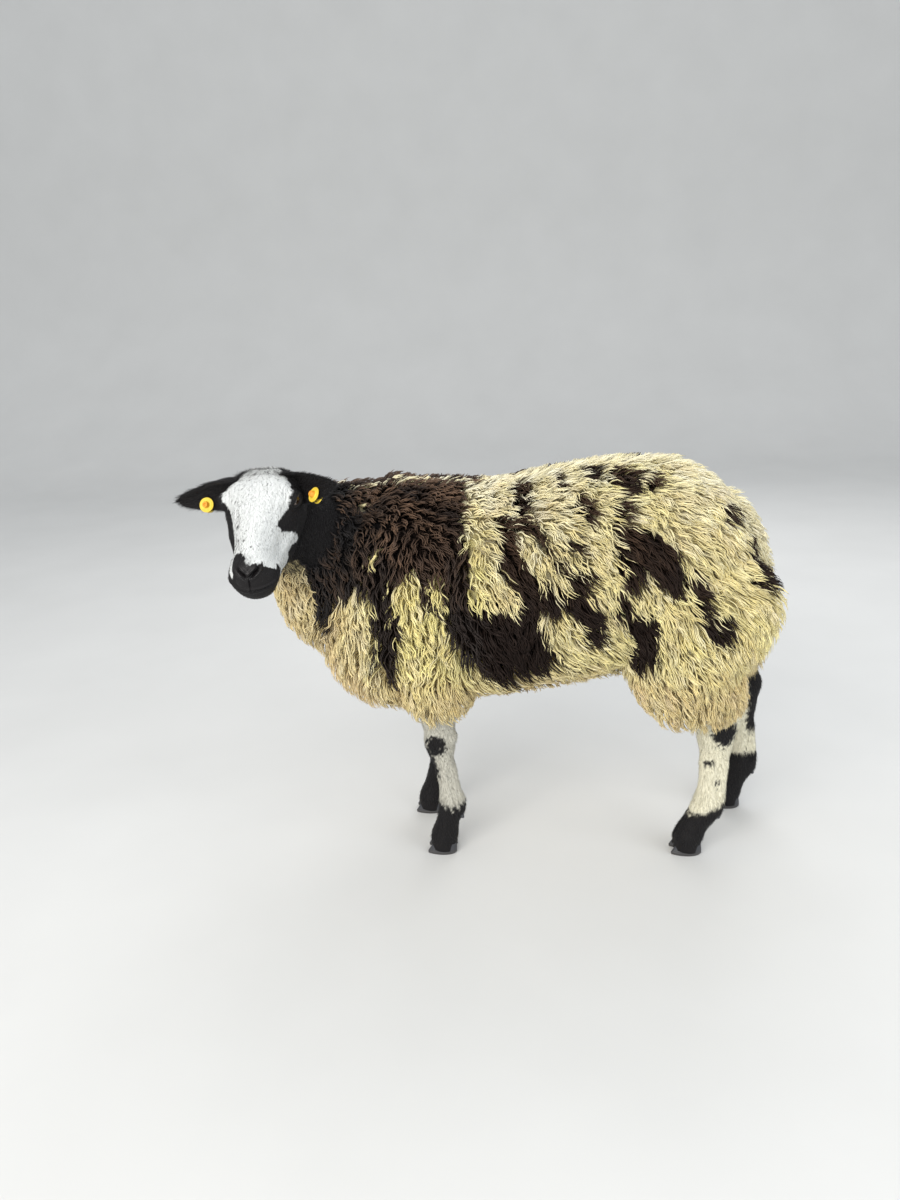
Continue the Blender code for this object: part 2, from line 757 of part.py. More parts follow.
def make_purse():
    """Two rounded lobes in one skin, hanging from a neck between the thighs."""
    rings = []
    steps = 14
    rounding = [0.62 + 0.38 * math.sin(math.pi / 2 * k / 4) for k in range(1, 5)]
    for share in [0.0, 0.2, 0.42, 0.62, *rounding]:
        neck = 0.42 + 0.58 * ease(0.15, 0.62, share)
        opened = neck * math.sqrt(max(1 - max(share - 0.62, 0) ** 2 / 0.38 ** 2, 0.0)) if share > 0.62 else neck
        opened = max(opened, 0.03)
        ring = []
        for k in range(steps):
            turn = 2 * math.pi * k / steps
            cleft = 1 - 0.16 * ease(0.4, 0.7, share) * abs(math.sin(turn)) ** 6
            ring.append((
                PURSE_TOP[0] + 0.012 * share + 0.80 * PURSE_HALF_WIDTH * opened * math.sin(turn) * cleft,
                PURSE_HALF_WIDTH * opened * math.cos(turn),
                PURSE_TOP[2] - PURSE_DROP * share,
            ))
        rings.append(np.array(ring))
    return loft("purse", np.array(rings))


def surface_of(obj):
    """The triangles of an object's skin: their corners, normals and areas."""
    obj.data.calc_loop_triangles()
    points = np.array([v.co for v in obj.data.vertices])
    corners = points[np.array([t.vertices for t in obj.data.loop_triangles])]
    crossed = np.cross(corners[:, 1] - corners[:, 0], corners[:, 2] - corners[:, 0])
    doubled = np.linalg.norm(crossed, axis=1)
    return corners, crossed / np.maximum(doubled, 1e-12)[:, None], doubled / 2


def tree_of(obj):
    obj.data.calc_loop_triangles()
    return BVHTree.FromPolygons([v.co for v in obj.data.vertices], [t.vertices for t in obj.data.loop_triangles])


def wool_sites(core, bare, spacing, allowed):
    """Places for clumps, evenly spread over a core: each with its normal and the wool left over it."""
    dice = random.Random(CLUMP_SEED)
    corners, normals, areas = surface_of(core)
    sums = np.cumsum(areas)
    skin = tree_of(bare)
    sites = []
    for _ in range(9000):
        face = int(np.searchsorted(sums, dice.random() * sums[-1]))
        face = min(face, len(corners) - 1)
        u, v = dice.random(), dice.random()
        if u + v > 1:
            u, v = 1 - u, 1 - v
        a, b, c = corners[face]
        place = Vector(a + (b - a) * u + (c - a) * v)
        normal = Vector(normals[face])
        depth = skin.find_nearest(place)[3] * (1 - CORE_SHARE) / CORE_SHARE
        if depth < CLUMP_LEAST or not allowed(place, normal):
            continue
        size = 0.62 + 0.38 * min(depth / (WOOL_SIDE * (1 - CORE_SHARE)), 1.0)
        if all((place - other[0]).length > spacing * (size + other[3]) / 2 for other in sites):
            sites.append((place, normal, depth, size))
    return sites


def clump(place, normal, depth, size, dice):
    """One rounded clump: its root sunk in the core, its broad tip lying down the coat at the wool's full depth."""
    lie = Vector(CLUMP_LIE)
    lie = lie - normal * lie.dot(normal)
    lie = Matrix.Rotation(dice.uniform(-CLUMP_TURN, CLUMP_TURN), 3, normal) @ lie.normalized()
    side = normal.cross(lie)
    length = CLUMP_LENGTH * size * dice.uniform(0.9, 1.12)
    width = CLUMP_WIDTH * size * dice.uniform(0.9, 1.1)
    thick = (depth + CLUMP_SINK) / 2
    top = depth * dice.uniform(0.9, 1.06)
    phase = dice.random() * math.pi
    rings = []
    for along in (0.02, 0.22, 0.55, 0.84, 0.985):
        bulge = math.sin(math.pi * along ** 0.85) ** 0.62
        half = width / 2 * bulge
        high = thick * bulge
        rise = ease(0.0, 0.7, along)
        level = -CLUMP_SINK * (1 - rise) + (top - thick) * rise
        ahead = (along - 0.42) * length
        ring = []
        for k in range(CLUMP_SIDES):
            turn = 2 * math.pi * k / CLUMP_SIDES + phase
            across = half * math.cos(turn)
            wrap = (across ** 2 + ahead ** 2) / (2 * CLUMP_WRAP)
            up = level + high * math.sin(turn) - wrap
            ring.append(place + lie * ahead + side * across + normal * up)
        rings.append(np.array(ring))
    return loft("clump", np.array(rings[1:-1]), (rings[0].mean(axis=0), rings[-1].mean(axis=0)))


def body_allowed(place, normal):
    """Where the body's wool grows: not on the bare legs, between the thighs or against the head."""
    if place.z < 0.292:
        return False
    if abs(place.y) < 0.055 and place.x > 0.13 and place.z < 0.47:
        return False
    if abs(place.y) < 0.045 and place.x > 0.27 and place.z < 0.66:
        return False
    return (place - EYE_LINE).length > 0.115


def purse_room():
    return puff(make_purse(), GAP)


def wool_forms(share):
    """The woolly forms of the body, each puffed from the skin by a share of the fleece's depth."""
    forms = []
    for name, rings, depth in form_list():
        forms.append(puff(loft(name, rings), scaled(depth, share)))
    return forms


def leg_rows():
    return {
        "hind_leg_left": mirror_side(HIND_NEAR, -1),
        "hind_leg_right": mirror_side(HIND_NEAR, 1, HIND_FAR_HOCK_MOVE, HIND_FAR_FOOT_MOVE),
        "fore_leg_left": mirror_side(FORE_NEAR, -1),
        "fore_leg_right": mirror_side(FORE_NEAR, 1, FORE_FAR_KNEE_MOVE, FORE_FAR_FOOT_MOVE),
    }


def form_list():
    rows = leg_rows()
    made = [
        ("trunk", trunk_rings(20, 11), wool_depth),
        ("neck", limb_rings(NECK, 16, 6, NECK_CAPS, None), neck_wool),
    ]
    for name, leg in rows.items():
        side = 1 if name.endswith("right") else -1
        ends = WOOL_ENDS_HIND if name.startswith("hind") else WOOL_ENDS_FORE
        made.append((name, limb_rings(leg, 12, 17, LEG_CAPS, (0, 1, 0)), leg_wool(side, ends)))
    return made


# Regions that part the body, each a block: its span along, across and up
LEG_BLOCKS = {
    "hind_leg_left": ((0.085, 0.520), (-0.300, -0.012), (-0.05, 0.272)),
    "hind_leg_right": ((0.085, 0.520), (0.012, 0.300), (-0.05, 0.272)),
    "thigh_left": ((0.085, 0.520), (-0.320, -0.012), (0.2, 0.455)),
    "thigh_right": ((0.085, 0.520), (0.012, 0.320), (0.2, 0.455)),
    "fore_leg_left": ((-0.400, -0.130), (-0.300, -0.010), (-0.05, 0.296)),
    "fore_leg_right": ((-0.430, -0.130), (0.010, 0.300), (-0.05, 0.296)),
}
TAIL_PLANE_POINT = Vector((0.303, 0.0, 0.592))
TAIL_PLANE_NORMAL = Vector((0.964, 0.0, 0.266)).normalized()
NECK_PLANE_POINT = Vector((-0.385, -0.020, 0.575))
NECK_PLANE_NORMAL = Vector((-0.86, -0.16, 0.48)).normalized()


def leg_block(name, grow):
    """The region of a part of a leg, whose walls all move outwards by grow."""
    (x0, x1), (y0, y1), (z0, z1) = LEG_BLOCKS[name]
    low = [(x0, y0), (x1, y0), (x1, y1), (x0, y1)]
    signs = [(-1, -1), (1, -1), (1, 1), (-1, 1)]
    spread = [(x + sx * grow, y + sy * grow) for (x, y), (sx, sy) in zip(low, signs)]
    return block("region", [(x, y, z0 - grow) for x, y in spread] + [(x, y, z1 + grow) for x, y in spread])


def beyond(point, normal, grow):
    """Everything on the side of a plane that its normal points to."""
    side = Vector((0, 1, 0))
    side = (side - normal * side.dot(normal)).normalized()
    rise = normal.cross(side)
    start = point - normal * grow
    reach = 0.6
    corners = []
    for far in (0.0, 0.5):
        for a, b in ((-1, -1), (1, -1), (1, 1), (-1, 1)):
            corners.append(start + normal * far + side * a * reach + rise * b * reach)
    return block("region", corners)


def neck_block(grow):
    """Everything ahead of the plane that parts the neck from the trunk."""
    return beyond(NECK_PLANE_POINT, NECK_PLANE_NORMAL, grow)


def foot_cutter(foot, grow):
    """The space below the coronet of a foot, where its claws are. Its top slopes down to the heel."""
    x, y = foot
    reach = 0.08
    corners = [(x - reach, y - reach, -0.02), (x + reach, y - reach, -0.02),
               (x + reach, y + reach, -0.02), (x - reach, y + reach, -0.02)]
    corners += [(cx, cy, coronet_level(x - cx) + grow) for cx, cy, _ in corners]
    return block("foot", corners)


def tail_form(depth):
    return puff(loft("tail", limb_rings(TAIL, 10, 6, (0.012, 0.020), (0, 1, 0))), depth)


def tail_room(grow):
    """The space of the tail: its core where it lies in the rump, and its whole wool outside of it."""
    room = tail_form(TAIL_WOOL + grow)
    boolean(room, beyond(TAIL_PLANE_POINT, TAIL_PLANE_NORMAL, grow), "INTERSECT")
    union_all(room, [tail_form(TAIL_WOOL * CORE_SHARE + grow)])
    return room


def make_tail():
    """The tail's core with its own clumps, held inside its room."""
    bare = tail_form(0.0)
    tail = tail_form(TAIL_WOOL * CORE_SHARE)
    dice = random.Random(CLUMP_SEED)
    sites = wool_sites(tail, bare, TAIL_SPACING, lambda place, normal: normal.x > -0.6)
    union_all(tail, [clump(place, normal, depth, 0.72, dice) for place, normal, depth, _ in sites])
    bpy.data.objects.remove(bare)
    boolean(tail, tail_room(0.5 * GAP), "INTERSECT")
    return keep_largest(tail)


def clear_scene():
    for obj in list(bpy.data.objects):
        bpy.data.objects.remove(obj)


def main():
    clear_scene()
    wool_white = material("wool", (0.82, 0.74, 0.52), 0.9)
    black_hair = material("black_hair", (0.02, 0.02, 0.022), 0.7)
    white_hair = material("white_hair", (0.80, 0.80, 0.76), 0.8)
    horn = material("horn", (0.10, 0.09, 0.08), 0.5)
    eye_mat = material("eye", (0.05, 0.03, 0.015), 0.1)
    yellow = material("tag_plastic", (0.85, 0.62, 0.05), 0.45)
    skin = material("purse_skin", (0.45, 0.32, 0.27), 0.7)

    head = make_head()
    ears = {"ear_left": make_ear(1, "ear_left"), "ear_right": make_ear(-1, "ear_right")}

    bare, *others = wool_forms(0.0)
    union_all(bare, others)
    body, *others = wool_forms(CORE_SHARE)
    union_all(body, others)
    keep_largest(body)
    dice = random.Random(CLUMP_SEED)
    clumps = [clump(*site, dice) for site in wool_sites(body, bare, CLUMP_SPACING, body_allowed)]
    bpy.data.objects.remove(bare)
    union_all(body, clumps)
    keep_largest(body)

    nodes = {}
    for name in LEG_BLOCKS:
        leg = boolean(copy_of(body, name), leg_block(name, -GAP / 2), "INTERSECT")
        nodes[name] = keep_largest(leg)
        boolean(body, leg_block(name, GAP / 2), "DIFFERENCE")
    boolean(body, tail_room(2 * GAP), "DIFFERENCE")
    neck = boolean(copy_of(body, "neck"), neck_block(-GAP / 2), "INTERSECT")
    boolean(body, neck_block(GAP / 2), "DIFFERENCE")
    keep_largest(body)
    body.name = "torso"

    boolean(neck, head_room(2 * GAP), "DIFFERENCE")
    for side, ear in ((1, ears["ear_left"]), (-1, ears["ear_right"])):
        boolean(neck, puff(copy_of(ear, "room"), 4 * GAP), "DIFFERENCE")
        boolean(ear, head_room(1.5 * GAP), "DIFFERENCE")
        keep_largest(ear)
    nodes["neck"] = keep_largest(neck)
    nodes["torso"] = body
    nodes["tail"] = make_tail()

    for name in ("thigh_left", "thigh_right"):
        boolean(nodes[name], tail_room(2 * GAP), "DIFFERENCE")
        boolean(nodes[name], purse_room(), "DIFFERENCE")
        keep_largest(nodes[name])
    for name, rows in leg_rows().items():
        _, x, y, *_ = rows[-2]
        x -= FOOT_AHEAD
        boolean(nodes[name], foot_cutter((x, y), GAP), "DIFFERENCE")
        keep_largest(nodes[name])
        short = name.replace("_leg_", "_")
        for claw, side in (("inner", -1 if y > 0 else 1), ("outer", 1 if y > 0 else -1)):
            nodes[f"claw_{short}_{claw}"] = make_claw(f"claw_{short}_{claw}", (x, y), side)

    boolean(body, purse_room(), "DIFFERENCE")
    keep_largest(body)
    nodes["purse"] = make_purse()

    for side, word in ((1, "left"), (-1, "right")):
        nodes[f"eye_{word}"] = make_eye(side, f"eye_{word}")
        place, out = tag_frame(side)
        lift = TAG_CAP_LIFT
        cap = disc(f"tag_{word}_cap", place, out, TAG_CAP_RADIUS, lift, lift + TAG_CAP_THICK)
        union_all(cap, [
            disc("boss", place, out, TAG_BOSS_RADIUS, lift + 0.0002, lift + TAG_BOSS_HEIGHT, 14),
            disc("pin", place, out, TAG_PIN_RADIUS, GAP - TAG_BACK_DROP, lift + 0.0010, 12),
        ])
        low = -TAG_BACK_DROP
        back = disc(f"tag_{word}_back", place, out, TAG_BACK_RADIUS, low - 0.0016, low)
        ear = ears[f"ear_{word}"]
        boolean(ear, disc("hole", place, out, TAG_PIN_RADIUS + GAP, -0.012, 0.008, 12), "DIFFERENCE")
        keep_largest(ear)
        for low, high, radius in ((lift, 0.02, TAG_CAP_RADIUS), (-0.012, -TAG_BACK_DROP, TAG_BACK_RADIUS)):
            room = disc("room", place, out, radius + 2 * GAP, low - GAP, high + GAP)
            boolean(nodes["neck"], room, "DIFFERENCE")
        keep_largest(nodes["neck"])
        nodes[cap.name] = cap
        nodes[back.name] = back
        nodes[f"ear_{word}"] = ears[f"ear_{word}"]
    nodes["head"] = head

    finishes = {
        "torso": wool_white, "neck": wool_white, "tail": wool_white, "head": white_hair, "purse": skin,
    }
    for name, obj in nodes.items():
        obj.name = name
        fallback = white_hair
        for start, made in (("ear", black_hair), ("claw", horn), ("eye", eye_mat), ("tag", yellow)):
            if name.startswith(start):
                fallback = made
        finish(obj, finishes.get(name, fallback))
        obj.data.transform(Matrix.Translation(FRAME_SHIFT))


main()
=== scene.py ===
"""Visual model of a Dutch spotted ram lamb, life size, standing with its head turned to its left.

The animal faces -X, its left side faces -Y and +Z is up. The forms are laid out about the middle of the
four hooves, as named sizes below give them, and every mesh is then moved by PLACE into the shared frame.
"""

import math

import bpy
import numpy as np
from mathutils import Matrix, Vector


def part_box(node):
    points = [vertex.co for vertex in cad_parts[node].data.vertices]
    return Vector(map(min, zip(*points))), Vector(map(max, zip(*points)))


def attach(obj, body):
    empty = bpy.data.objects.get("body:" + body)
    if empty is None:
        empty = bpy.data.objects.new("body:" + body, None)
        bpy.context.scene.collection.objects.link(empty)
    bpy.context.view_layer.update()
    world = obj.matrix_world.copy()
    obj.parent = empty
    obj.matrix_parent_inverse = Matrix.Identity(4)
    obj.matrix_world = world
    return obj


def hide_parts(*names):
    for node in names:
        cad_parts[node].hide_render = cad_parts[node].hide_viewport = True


bl_info = {
    "name": "Dutch spotted ram lamb",
    "version": (1, 0, 0),
    "blender": (4, 5, 0),
    "location": "3D View > Sidebar > Lamb",
    "description": "Builds a spotted, woolly ram lamb from named sizes, with its studio stage",
    "category": "Add Mesh",
}

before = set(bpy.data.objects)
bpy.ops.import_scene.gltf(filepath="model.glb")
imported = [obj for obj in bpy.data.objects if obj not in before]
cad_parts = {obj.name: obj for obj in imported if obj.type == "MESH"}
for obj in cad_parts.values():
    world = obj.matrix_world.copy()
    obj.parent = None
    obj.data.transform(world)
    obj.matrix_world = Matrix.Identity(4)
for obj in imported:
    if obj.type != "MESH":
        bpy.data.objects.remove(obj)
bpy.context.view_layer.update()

# Regions of the skin. The legs are 1 to 4, in the order of LEGS.
ON_BODY, ON_HEAD, ON_EAR, ON_PURSE, ON_LIDS, UNMARKED = 0, 5, 6, 7, 8, 9

# Depth of the fleece over the skin, and the share of it that is dense underwool
WOOL_BACK = 0.045
WOOL_SIDE = 0.056
WOOL_CHEST = 0.068
WOOL_INNER = 0.012
UNDERWOOL = 0.47
WOOL_ENDS_HIND = (0.262, 0.330)
WOOL_ENDS_FORE = (0.284, 0.345)
TAIL_WOOL = 0.027

# Trunk: place along the body, back line, floor line, half width of the bare body
TRUNK = np.array((
    (-0.430, 0.600, 0.390, 0.080),
    (-0.370, 0.645, 0.350, 0.112),
    (-0.270, 0.660, 0.350, 0.132),
    (-0.130, 0.655, 0.374, 0.148),
    (0.000, 0.678, 0.396, 0.150),
    (0.110, 0.688, 0.418, 0.140),
    (0.190, 0.680, 0.436, 0.134),
    (0.240, 0.656, 0.446, 0.122),
    (0.277, 0.612, 0.452, 0.106),
))
TRUNK_CAPS = (0.110, 0.100)
TRUNK_SQUARE = 2.35

# Neck, tail and legs: line of the middle, then half depth and half width
NECK = np.array((
    (-0.300, 0.000, 0.515, 0.130, 0.098),
    (-0.365, -0.010, 0.545, 0.112, 0.084),
    (-0.420, -0.048, 0.590, 0.090, 0.068),
    (-0.462, -0.100, 0.640, 0.070, 0.054),
    (-0.486, -0.145, 0.680, 0.054, 0.046),
))
NECK_CAPS = (0.05, 0.03)
TAIL = np.array((
    (0.246, 0.000, 0.636, 0.026, 0.030),
    (0.288, 0.000, 0.592, 0.022, 0.028),
    (0.316, 0.000, 0.520, 0.017, 0.022),
    (0.330, 0.000, 0.440, 0.010, 0.014),
))
TAIL_CAPS = (0.012, 0.020)
HIND = np.array((
    (0.205, 0.070, 0.560, 0.100, 0.062),
    (0.194, 0.088, 0.470, 0.104, 0.064),
    (0.194, 0.094, 0.395, 0.082, 0.055),
    (0.226, 0.090, 0.320, 0.052, 0.042),
    (0.250, 0.088, 0.272, 0.036, 0.027),
    (0.253, 0.086, 0.232, 0.033, 0.024),
    (0.251, 0.085, 0.185, 0.0245, 0.020),
    (0.247, 0.085, 0.120, 0.0235, 0.020),
    (0.241, 0.085, 0.090, 0.0275, 0.025),
    (0.222, 0.085, 0.058, 0.0235, 0.024),
    (0.209, 0.085, 0.030, 0.0260, 0.0270),
    (0.206, 0.085, 0.006, 0.0260, 0.0270),
))
FORE = np.array((
    (-0.275, 0.070, 0.500, 0.080, 0.050),
    (-0.250, 0.082, 0.400, 0.062, 0.044),
    (-0.248, 0.082, 0.320, 0.042, 0.034),
    (-0.247, 0.080, 0.262, 0.029, 0.026),
    (-0.246, 0.078, 0.222, 0.0265, 0.0255),
    (-0.241, 0.077, 0.180, 0.0185, 0.019),
    (-0.234, 0.076, 0.125, 0.0180, 0.0185),
    (-0.231, 0.076, 0.095, 0.0240, 0.0235),
    (-0.240, 0.076, 0.060, 0.0220, 0.0235),
    (-0.248, 0.076, 0.030, 0.0255, 0.0265),
    (-0.250, 0.076, 0.006, 0.0255, 0.0265),
))
LEG_CAPS = (0.06, 0.002)
# Legs: rows, side (-1 the animal's left), how far back the hock or knee and the foot are moved
LEGS = {
    "hind_leg_left": (HIND, -1, 0.0, 0.0),
    "hind_leg_right": (HIND, 1, 0.082, 0.110),
    "fore_leg_left": (FORE, -1, 0.0, 0.0),
    "fore_leg_right": (FORE, 1, -0.018, -0.038),
}

# Feet
FOOT_AHEAD = 0.006
CLAW_LENGTH = 0.058
CLAW_WIDTH = 0.0235
CLAW_CLEFT = 0.004
CLAW_LEAN = 0.018
CORONET_HEIGHT = 0.024
CORONET_SLOPE = 0.16
DEWCLAW_HEIGHT = 0.080

# Purse
PURSE_TOP = (0.215, 0.000, 0.462)
PURSE_DROP = 0.150
PURSE_HALF_WIDTH = 0.036

# Head: point between the eyes, slope and turn of the face, then rows of
# place forward of the eye line, crown, chin, half width, level of the widest part
EYE_LINE = np.array((-0.500, -0.200, 0.713))
FACE_SLOPE = math.radians(35.0)
HEAD_TURN = math.radians(2.0)
FORWARD = np.array((
    math.sin(HEAD_TURN) * math.cos(FACE_SLOPE),
    -math.cos(HEAD_TURN) * math.cos(FACE_SLOPE),
    -math.sin(FACE_SLOPE),
))
LEFT = np.array((math.cos(HEAD_TURN), math.sin(HEAD_TURN), 0.0))
CROWN = np.cross(FORWARD, LEFT)
HEAD = np.array((
    (-0.090, -0.008, -0.070, 0.043, -0.032),
    (-0.068, 0.006, -0.100, 0.054, -0.030),
    (-0.040, 0.016, -0.122, 0.0600, -0.024),
    (-0.008, 0.025, -0.129, 0.0615, -0.012),
    (0.028, 0.026, -0.122, 0.0540, -0.024),
    (0.060, 0.024, -0.105, 0.0450, -0.034),
    (0.092, 0.020, -0.085, 0.0375, -0.036),
    (0.125, 0.013, -0.072, 0.0365, -0.030),
    (0.158, 0.007, -0.064, 0.0340, -0.029),
))
HEAD_CAPS = (0.030, 0.022)
EYE_RADIUS = 0.0135
EYE_OUT = 0.0490
EYE_LOOK = (0.42, 0.88, 0.20)
LID_RADIUS = 0.0172
LID_OPEN_LONG = 0.0125
LID_OPEN_HIGH = 0.0070

# Lines of the mouth and of a nostril on the muzzle: forward, left, level
MOUTH = np.array((
    (0.172, 0.000, -0.0300),
    (0.170, 0.010, -0.0300),
    (0.165, 0.022, -0.0310),
    (0.150, 0.036, -0.0325),
    (0.132, 0.045, -0.0325),
    (0.115, 0.045, -0.0300),
    (0.106, 0.045, -0.0240),
))
NOSTRIL = np.array((
    (0.172, 0.0045, -0.0060),
    (0.166, 0.0120, -0.0025),
    (0.156, 0.0200, 0.0010),
    (0.146, 0.0250, 0.0045),
))

# Ears
EAR_ROOT = (-0.050, 0.046, -0.018)
EAR_LENGTH = 0.112
EAR_HALF_WIDTH = 0.0245
EAR_THICK = 0.0032
EAR_AXES = {1: (0.735, -0.65, 0.19), -1: (-0.975, 0.11, -0.10)}
EAR_FACES = {1: (-0.66, -0.75, -0.05), -1: (0.10, -0.98, -0.18)}

# Ear tags
TAG_ALONG = 0.58
TAG_ACROSS = 0.68
TAG_CAP_RADIUS = 0.0125
TAG_CAP_LIFT = 0.0034
TAG_CAP_THICK = 0.0022
TAG_BOSS_RADIUS = 0.0052
TAG_BOSS_HEIGHT = 0.0085
TAG_PIN_RADIUS = 0.0026
TAG_BACK_RADIUS = 0.0120
TAG_BACK_DROP = 0.0040


def ease(low, high, value):
    """Smooth step: 0 below low, 1 above high and 3tt - 2ttt between, where t is the share of the way."""
    t = np.clip((np.asarray(value, float) - low) / (high - low), 0.0, 1.0)
    return t * t * (3 - 2 * t)


def bump(distance, reach):
    """A soft hill: (1 - dd) squared, where d is the share of the reach, on either side of the middle."""
    d = np.clip(np.abs(distance) / reach, 0.0, 1.0)
    return (1 - d * d) ** 2


def unit(vectors):
    """Vectors divided by their own lengths."""
    vectors = np.asarray(vectors, float)
    return vectors / np.maximum(np.linalg.norm(vectors, axis=-1, keepdims=True), 1e-12)


def hermite(table, knots, shares):
    """A smooth cubic curve through a table's rows, with the slope at each row from its neighbours."""
    slopes = np.gradient(table, knots, axis=0)
    i = np.clip(np.searchsorted(knots, shares, side="right") - 1, 0, len(knots) - 2)
    width = (knots[i + 1] - knots[i])[:, None]
    t = (shares - knots[i])[:, None] / width
    return (
        table[i] * (1 + 2 * t) * (1 - t) ** 2
        + slopes[i] * width * t * (1 - t) ** 2
        + table[i + 1] * t * t * (3 - 2 * t)
        + slopes[i + 1] * width * t * t * (t - 1)
    )


def line_knots(table):
    """Shares of the way along a form at its rows, by the length of its middle line, and that length."""
    centres = table[:, : 3 if table.shape[1] >= 5 else 1]
    steps = np.linalg.norm(np.diff(centres, axis=0), axis=1)
    sums = np.concatenate([[0.0], np.cumsum(steps)])
    return sums / sums[-1], sums[-1]


def opened_ends(shares, length, caps):
    """How far the rings have opened, where both ends are rounded as quarter circles over the caps."""
    opened = np.ones_like(shares)
    for distance, cap in ((shares * length, caps[0]), ((1 - shares) * length, caps[1])):
        near = np.clip(1 - distance / cap, 0.0, 1.0)
        opened = opened * np.sqrt(np.maximum(1 - near * near, 0.0))
    return np.maximum(opened, 0.02)


def end_shares(length, caps, rings):
    """Shares along a form, close together where its two ends are rounded."""
    turns = np.arange(1, 7) * math.pi / 14
    start = caps[0] * (1 - np.cos(turns)) / length
    tail = 1 - caps[1] * (1 - np.cos(turns[::-1])) / length
    middle = np.linspace(caps[0] / length, 1 - caps[1] / length, rings)
    return np.concatenate([[0.0015], start, middle, tail, [0.9985]])


def round_turns(count):
    """Angles in even steps once round a circle."""
    return np.arange(count) * 2 * math.pi / count


def oval(turns, power=1.0):
    """Places round an oval: cosine and sine, each raised to a power with its sign kept."""
    cosine, sine = np.cos(turns), np.sin(turns)
    return np.sign(cosine) * np.abs(cosine) ** power, np.sign(sine) * np.abs(sine) ** power


def trunk_grid(sides, rings):
    """The trunk: at each place along X an oval between the back line and the belly line."""
    across, up = oval(round_turns(sides), 2 / TRUNK_SQUARE)
    knots, length = line_knots(TRUNK)
    shares = end_shares(length, TRUNK_CAPS, rings)
    x, back, floor, half = hermite(TRUNK, knots, shares).T[:, :, None]
    opened = opened_ends(shares, length, TRUNK_CAPS)[:, None]
    level = (back + floor) / 2 + up * (back - floor) / 2 * opened
    return np.stack([x + 0 * across, across * half * opened, level], axis=-1)


def limb_grid(table, sides, rings, caps, side_hint, shares=None):
    """A limb: ovals square to a curved middle line, half width along the side hint, half depth across."""
    across, up = oval(round_turns(sides))
    knots, length = line_knots(table)
    if shares is None:
        shares = end_shares(length, caps, rings)
    now = hermite(table, knots, shares)
    ahead = hermite(table, knots, np.minimum(shares + 0.01, 1.0))[:, :3]
    behind = hermite(table, knots, np.maximum(shares - 0.01, 0.0))[:, :3]
    along = unit(ahead - behind)
    if side_hint is None:
        side_hint = np.cross((0.0, 0.0, 1.0), along)
    side = np.broadcast_to(side_hint, along.shape)
    side = unit(side - along * (along * side).sum(axis=1, keepdims=True))
    rise = np.cross(along, side)
    opened = opened_ends(shares, length, caps)[:, None, None]
    half = now[:, 4][:, None, None]
    deep = now[:, 3][:, None, None]
    return (
        now[:, None, :3]
        + across[None, :, None] * half * opened * side[:, None, :]
        + up[None, :, None] * deep * opened * rise[:, None, :]
    )


def leg_section(name, z):
    """A leg's middle along and across the body, half depth and half width at heights."""
    rows = leg_rows(name)[::-1]
    return [np.interp(z, rows[:, 2], rows[:, k]) for k in (0, 1, 3, 4)]


def leg_rows(name):
    """A leg's rows on its own side, with the hock or knee and the foot moved along the body."""
    table, side, hock, foot = LEGS[name]
    z = table[:, 2]
    shift = hock * ease(0.50, 0.28, z) + (foot - hock) * ease(0.26, 0.0, z)
    moved = table.copy()
    moved[:, 0] += shift
    moved[:, 1] *= side
    return moved


def grid_normals(grid):
    """Normals of a grid of rings, from its two directions, turned away from the rings' middles."""
    round_way = np.roll(grid, -1, axis=1) - np.roll(grid, 1, axis=1)
    long_way = np.gradient(grid, axis=0)
    normals = unit(np.cross(round_way, long_way))
    middle = grid.mean(axis=1, keepdims=True)
    outward = ((grid - middle) * normals).sum(axis=-1, keepdims=True)
    return normals * np.where(np.median(outward) < 0, -1.0, 1.0)


def grid_faces(rings, sides, start=0):
    """Four-cornered faces of a grid of rings that closes on itself round the form."""
    i, j = np.meshgrid(np.arange(rings - 1), np.arange(sides), indexing="ij")
    k = (j + 1) % sides
    here, ahead = i * sides, (i + 1) * sides
    return start + np.stack([here + j, here + k, ahead + k, ahead + j], -1).reshape(-1, 4)


def closed_form(grid):
    """Points and faces of a closed form through rings, with a fan to a pole at each end."""
    rings, sides = grid.shape[:2]
    points = np.concatenate([grid.reshape(-1, 3), grid[:1].mean(axis=1), grid[-1:].mean(axis=1)])
    j = np.arange(sides)
    k = (j + 1) % sides
    first = rings * sides
    last = (rings - 1) * sides
    fans = np.concatenate([
        np.stack([np.full(sides, first), k, j], -1),
        np.stack([np.full(sides, first + 1), last + j, last + k], -1),
    ])
    return points, grid_faces(rings, sides), fans


def volume_of(points, faces):
    """Six times the volume inside a closed set of faces, which is negative when they point inwards."""
    a, b, c = points[faces[:, 0]], points[faces[:, 1]], points[faces[:, 2]]
    total = (a * np.cross(b, c)).sum()
    if faces.shape[1] == 4:
        d = points[faces[:, 3]]
        total += (a * np.cross(c, d)).sum()
    return total


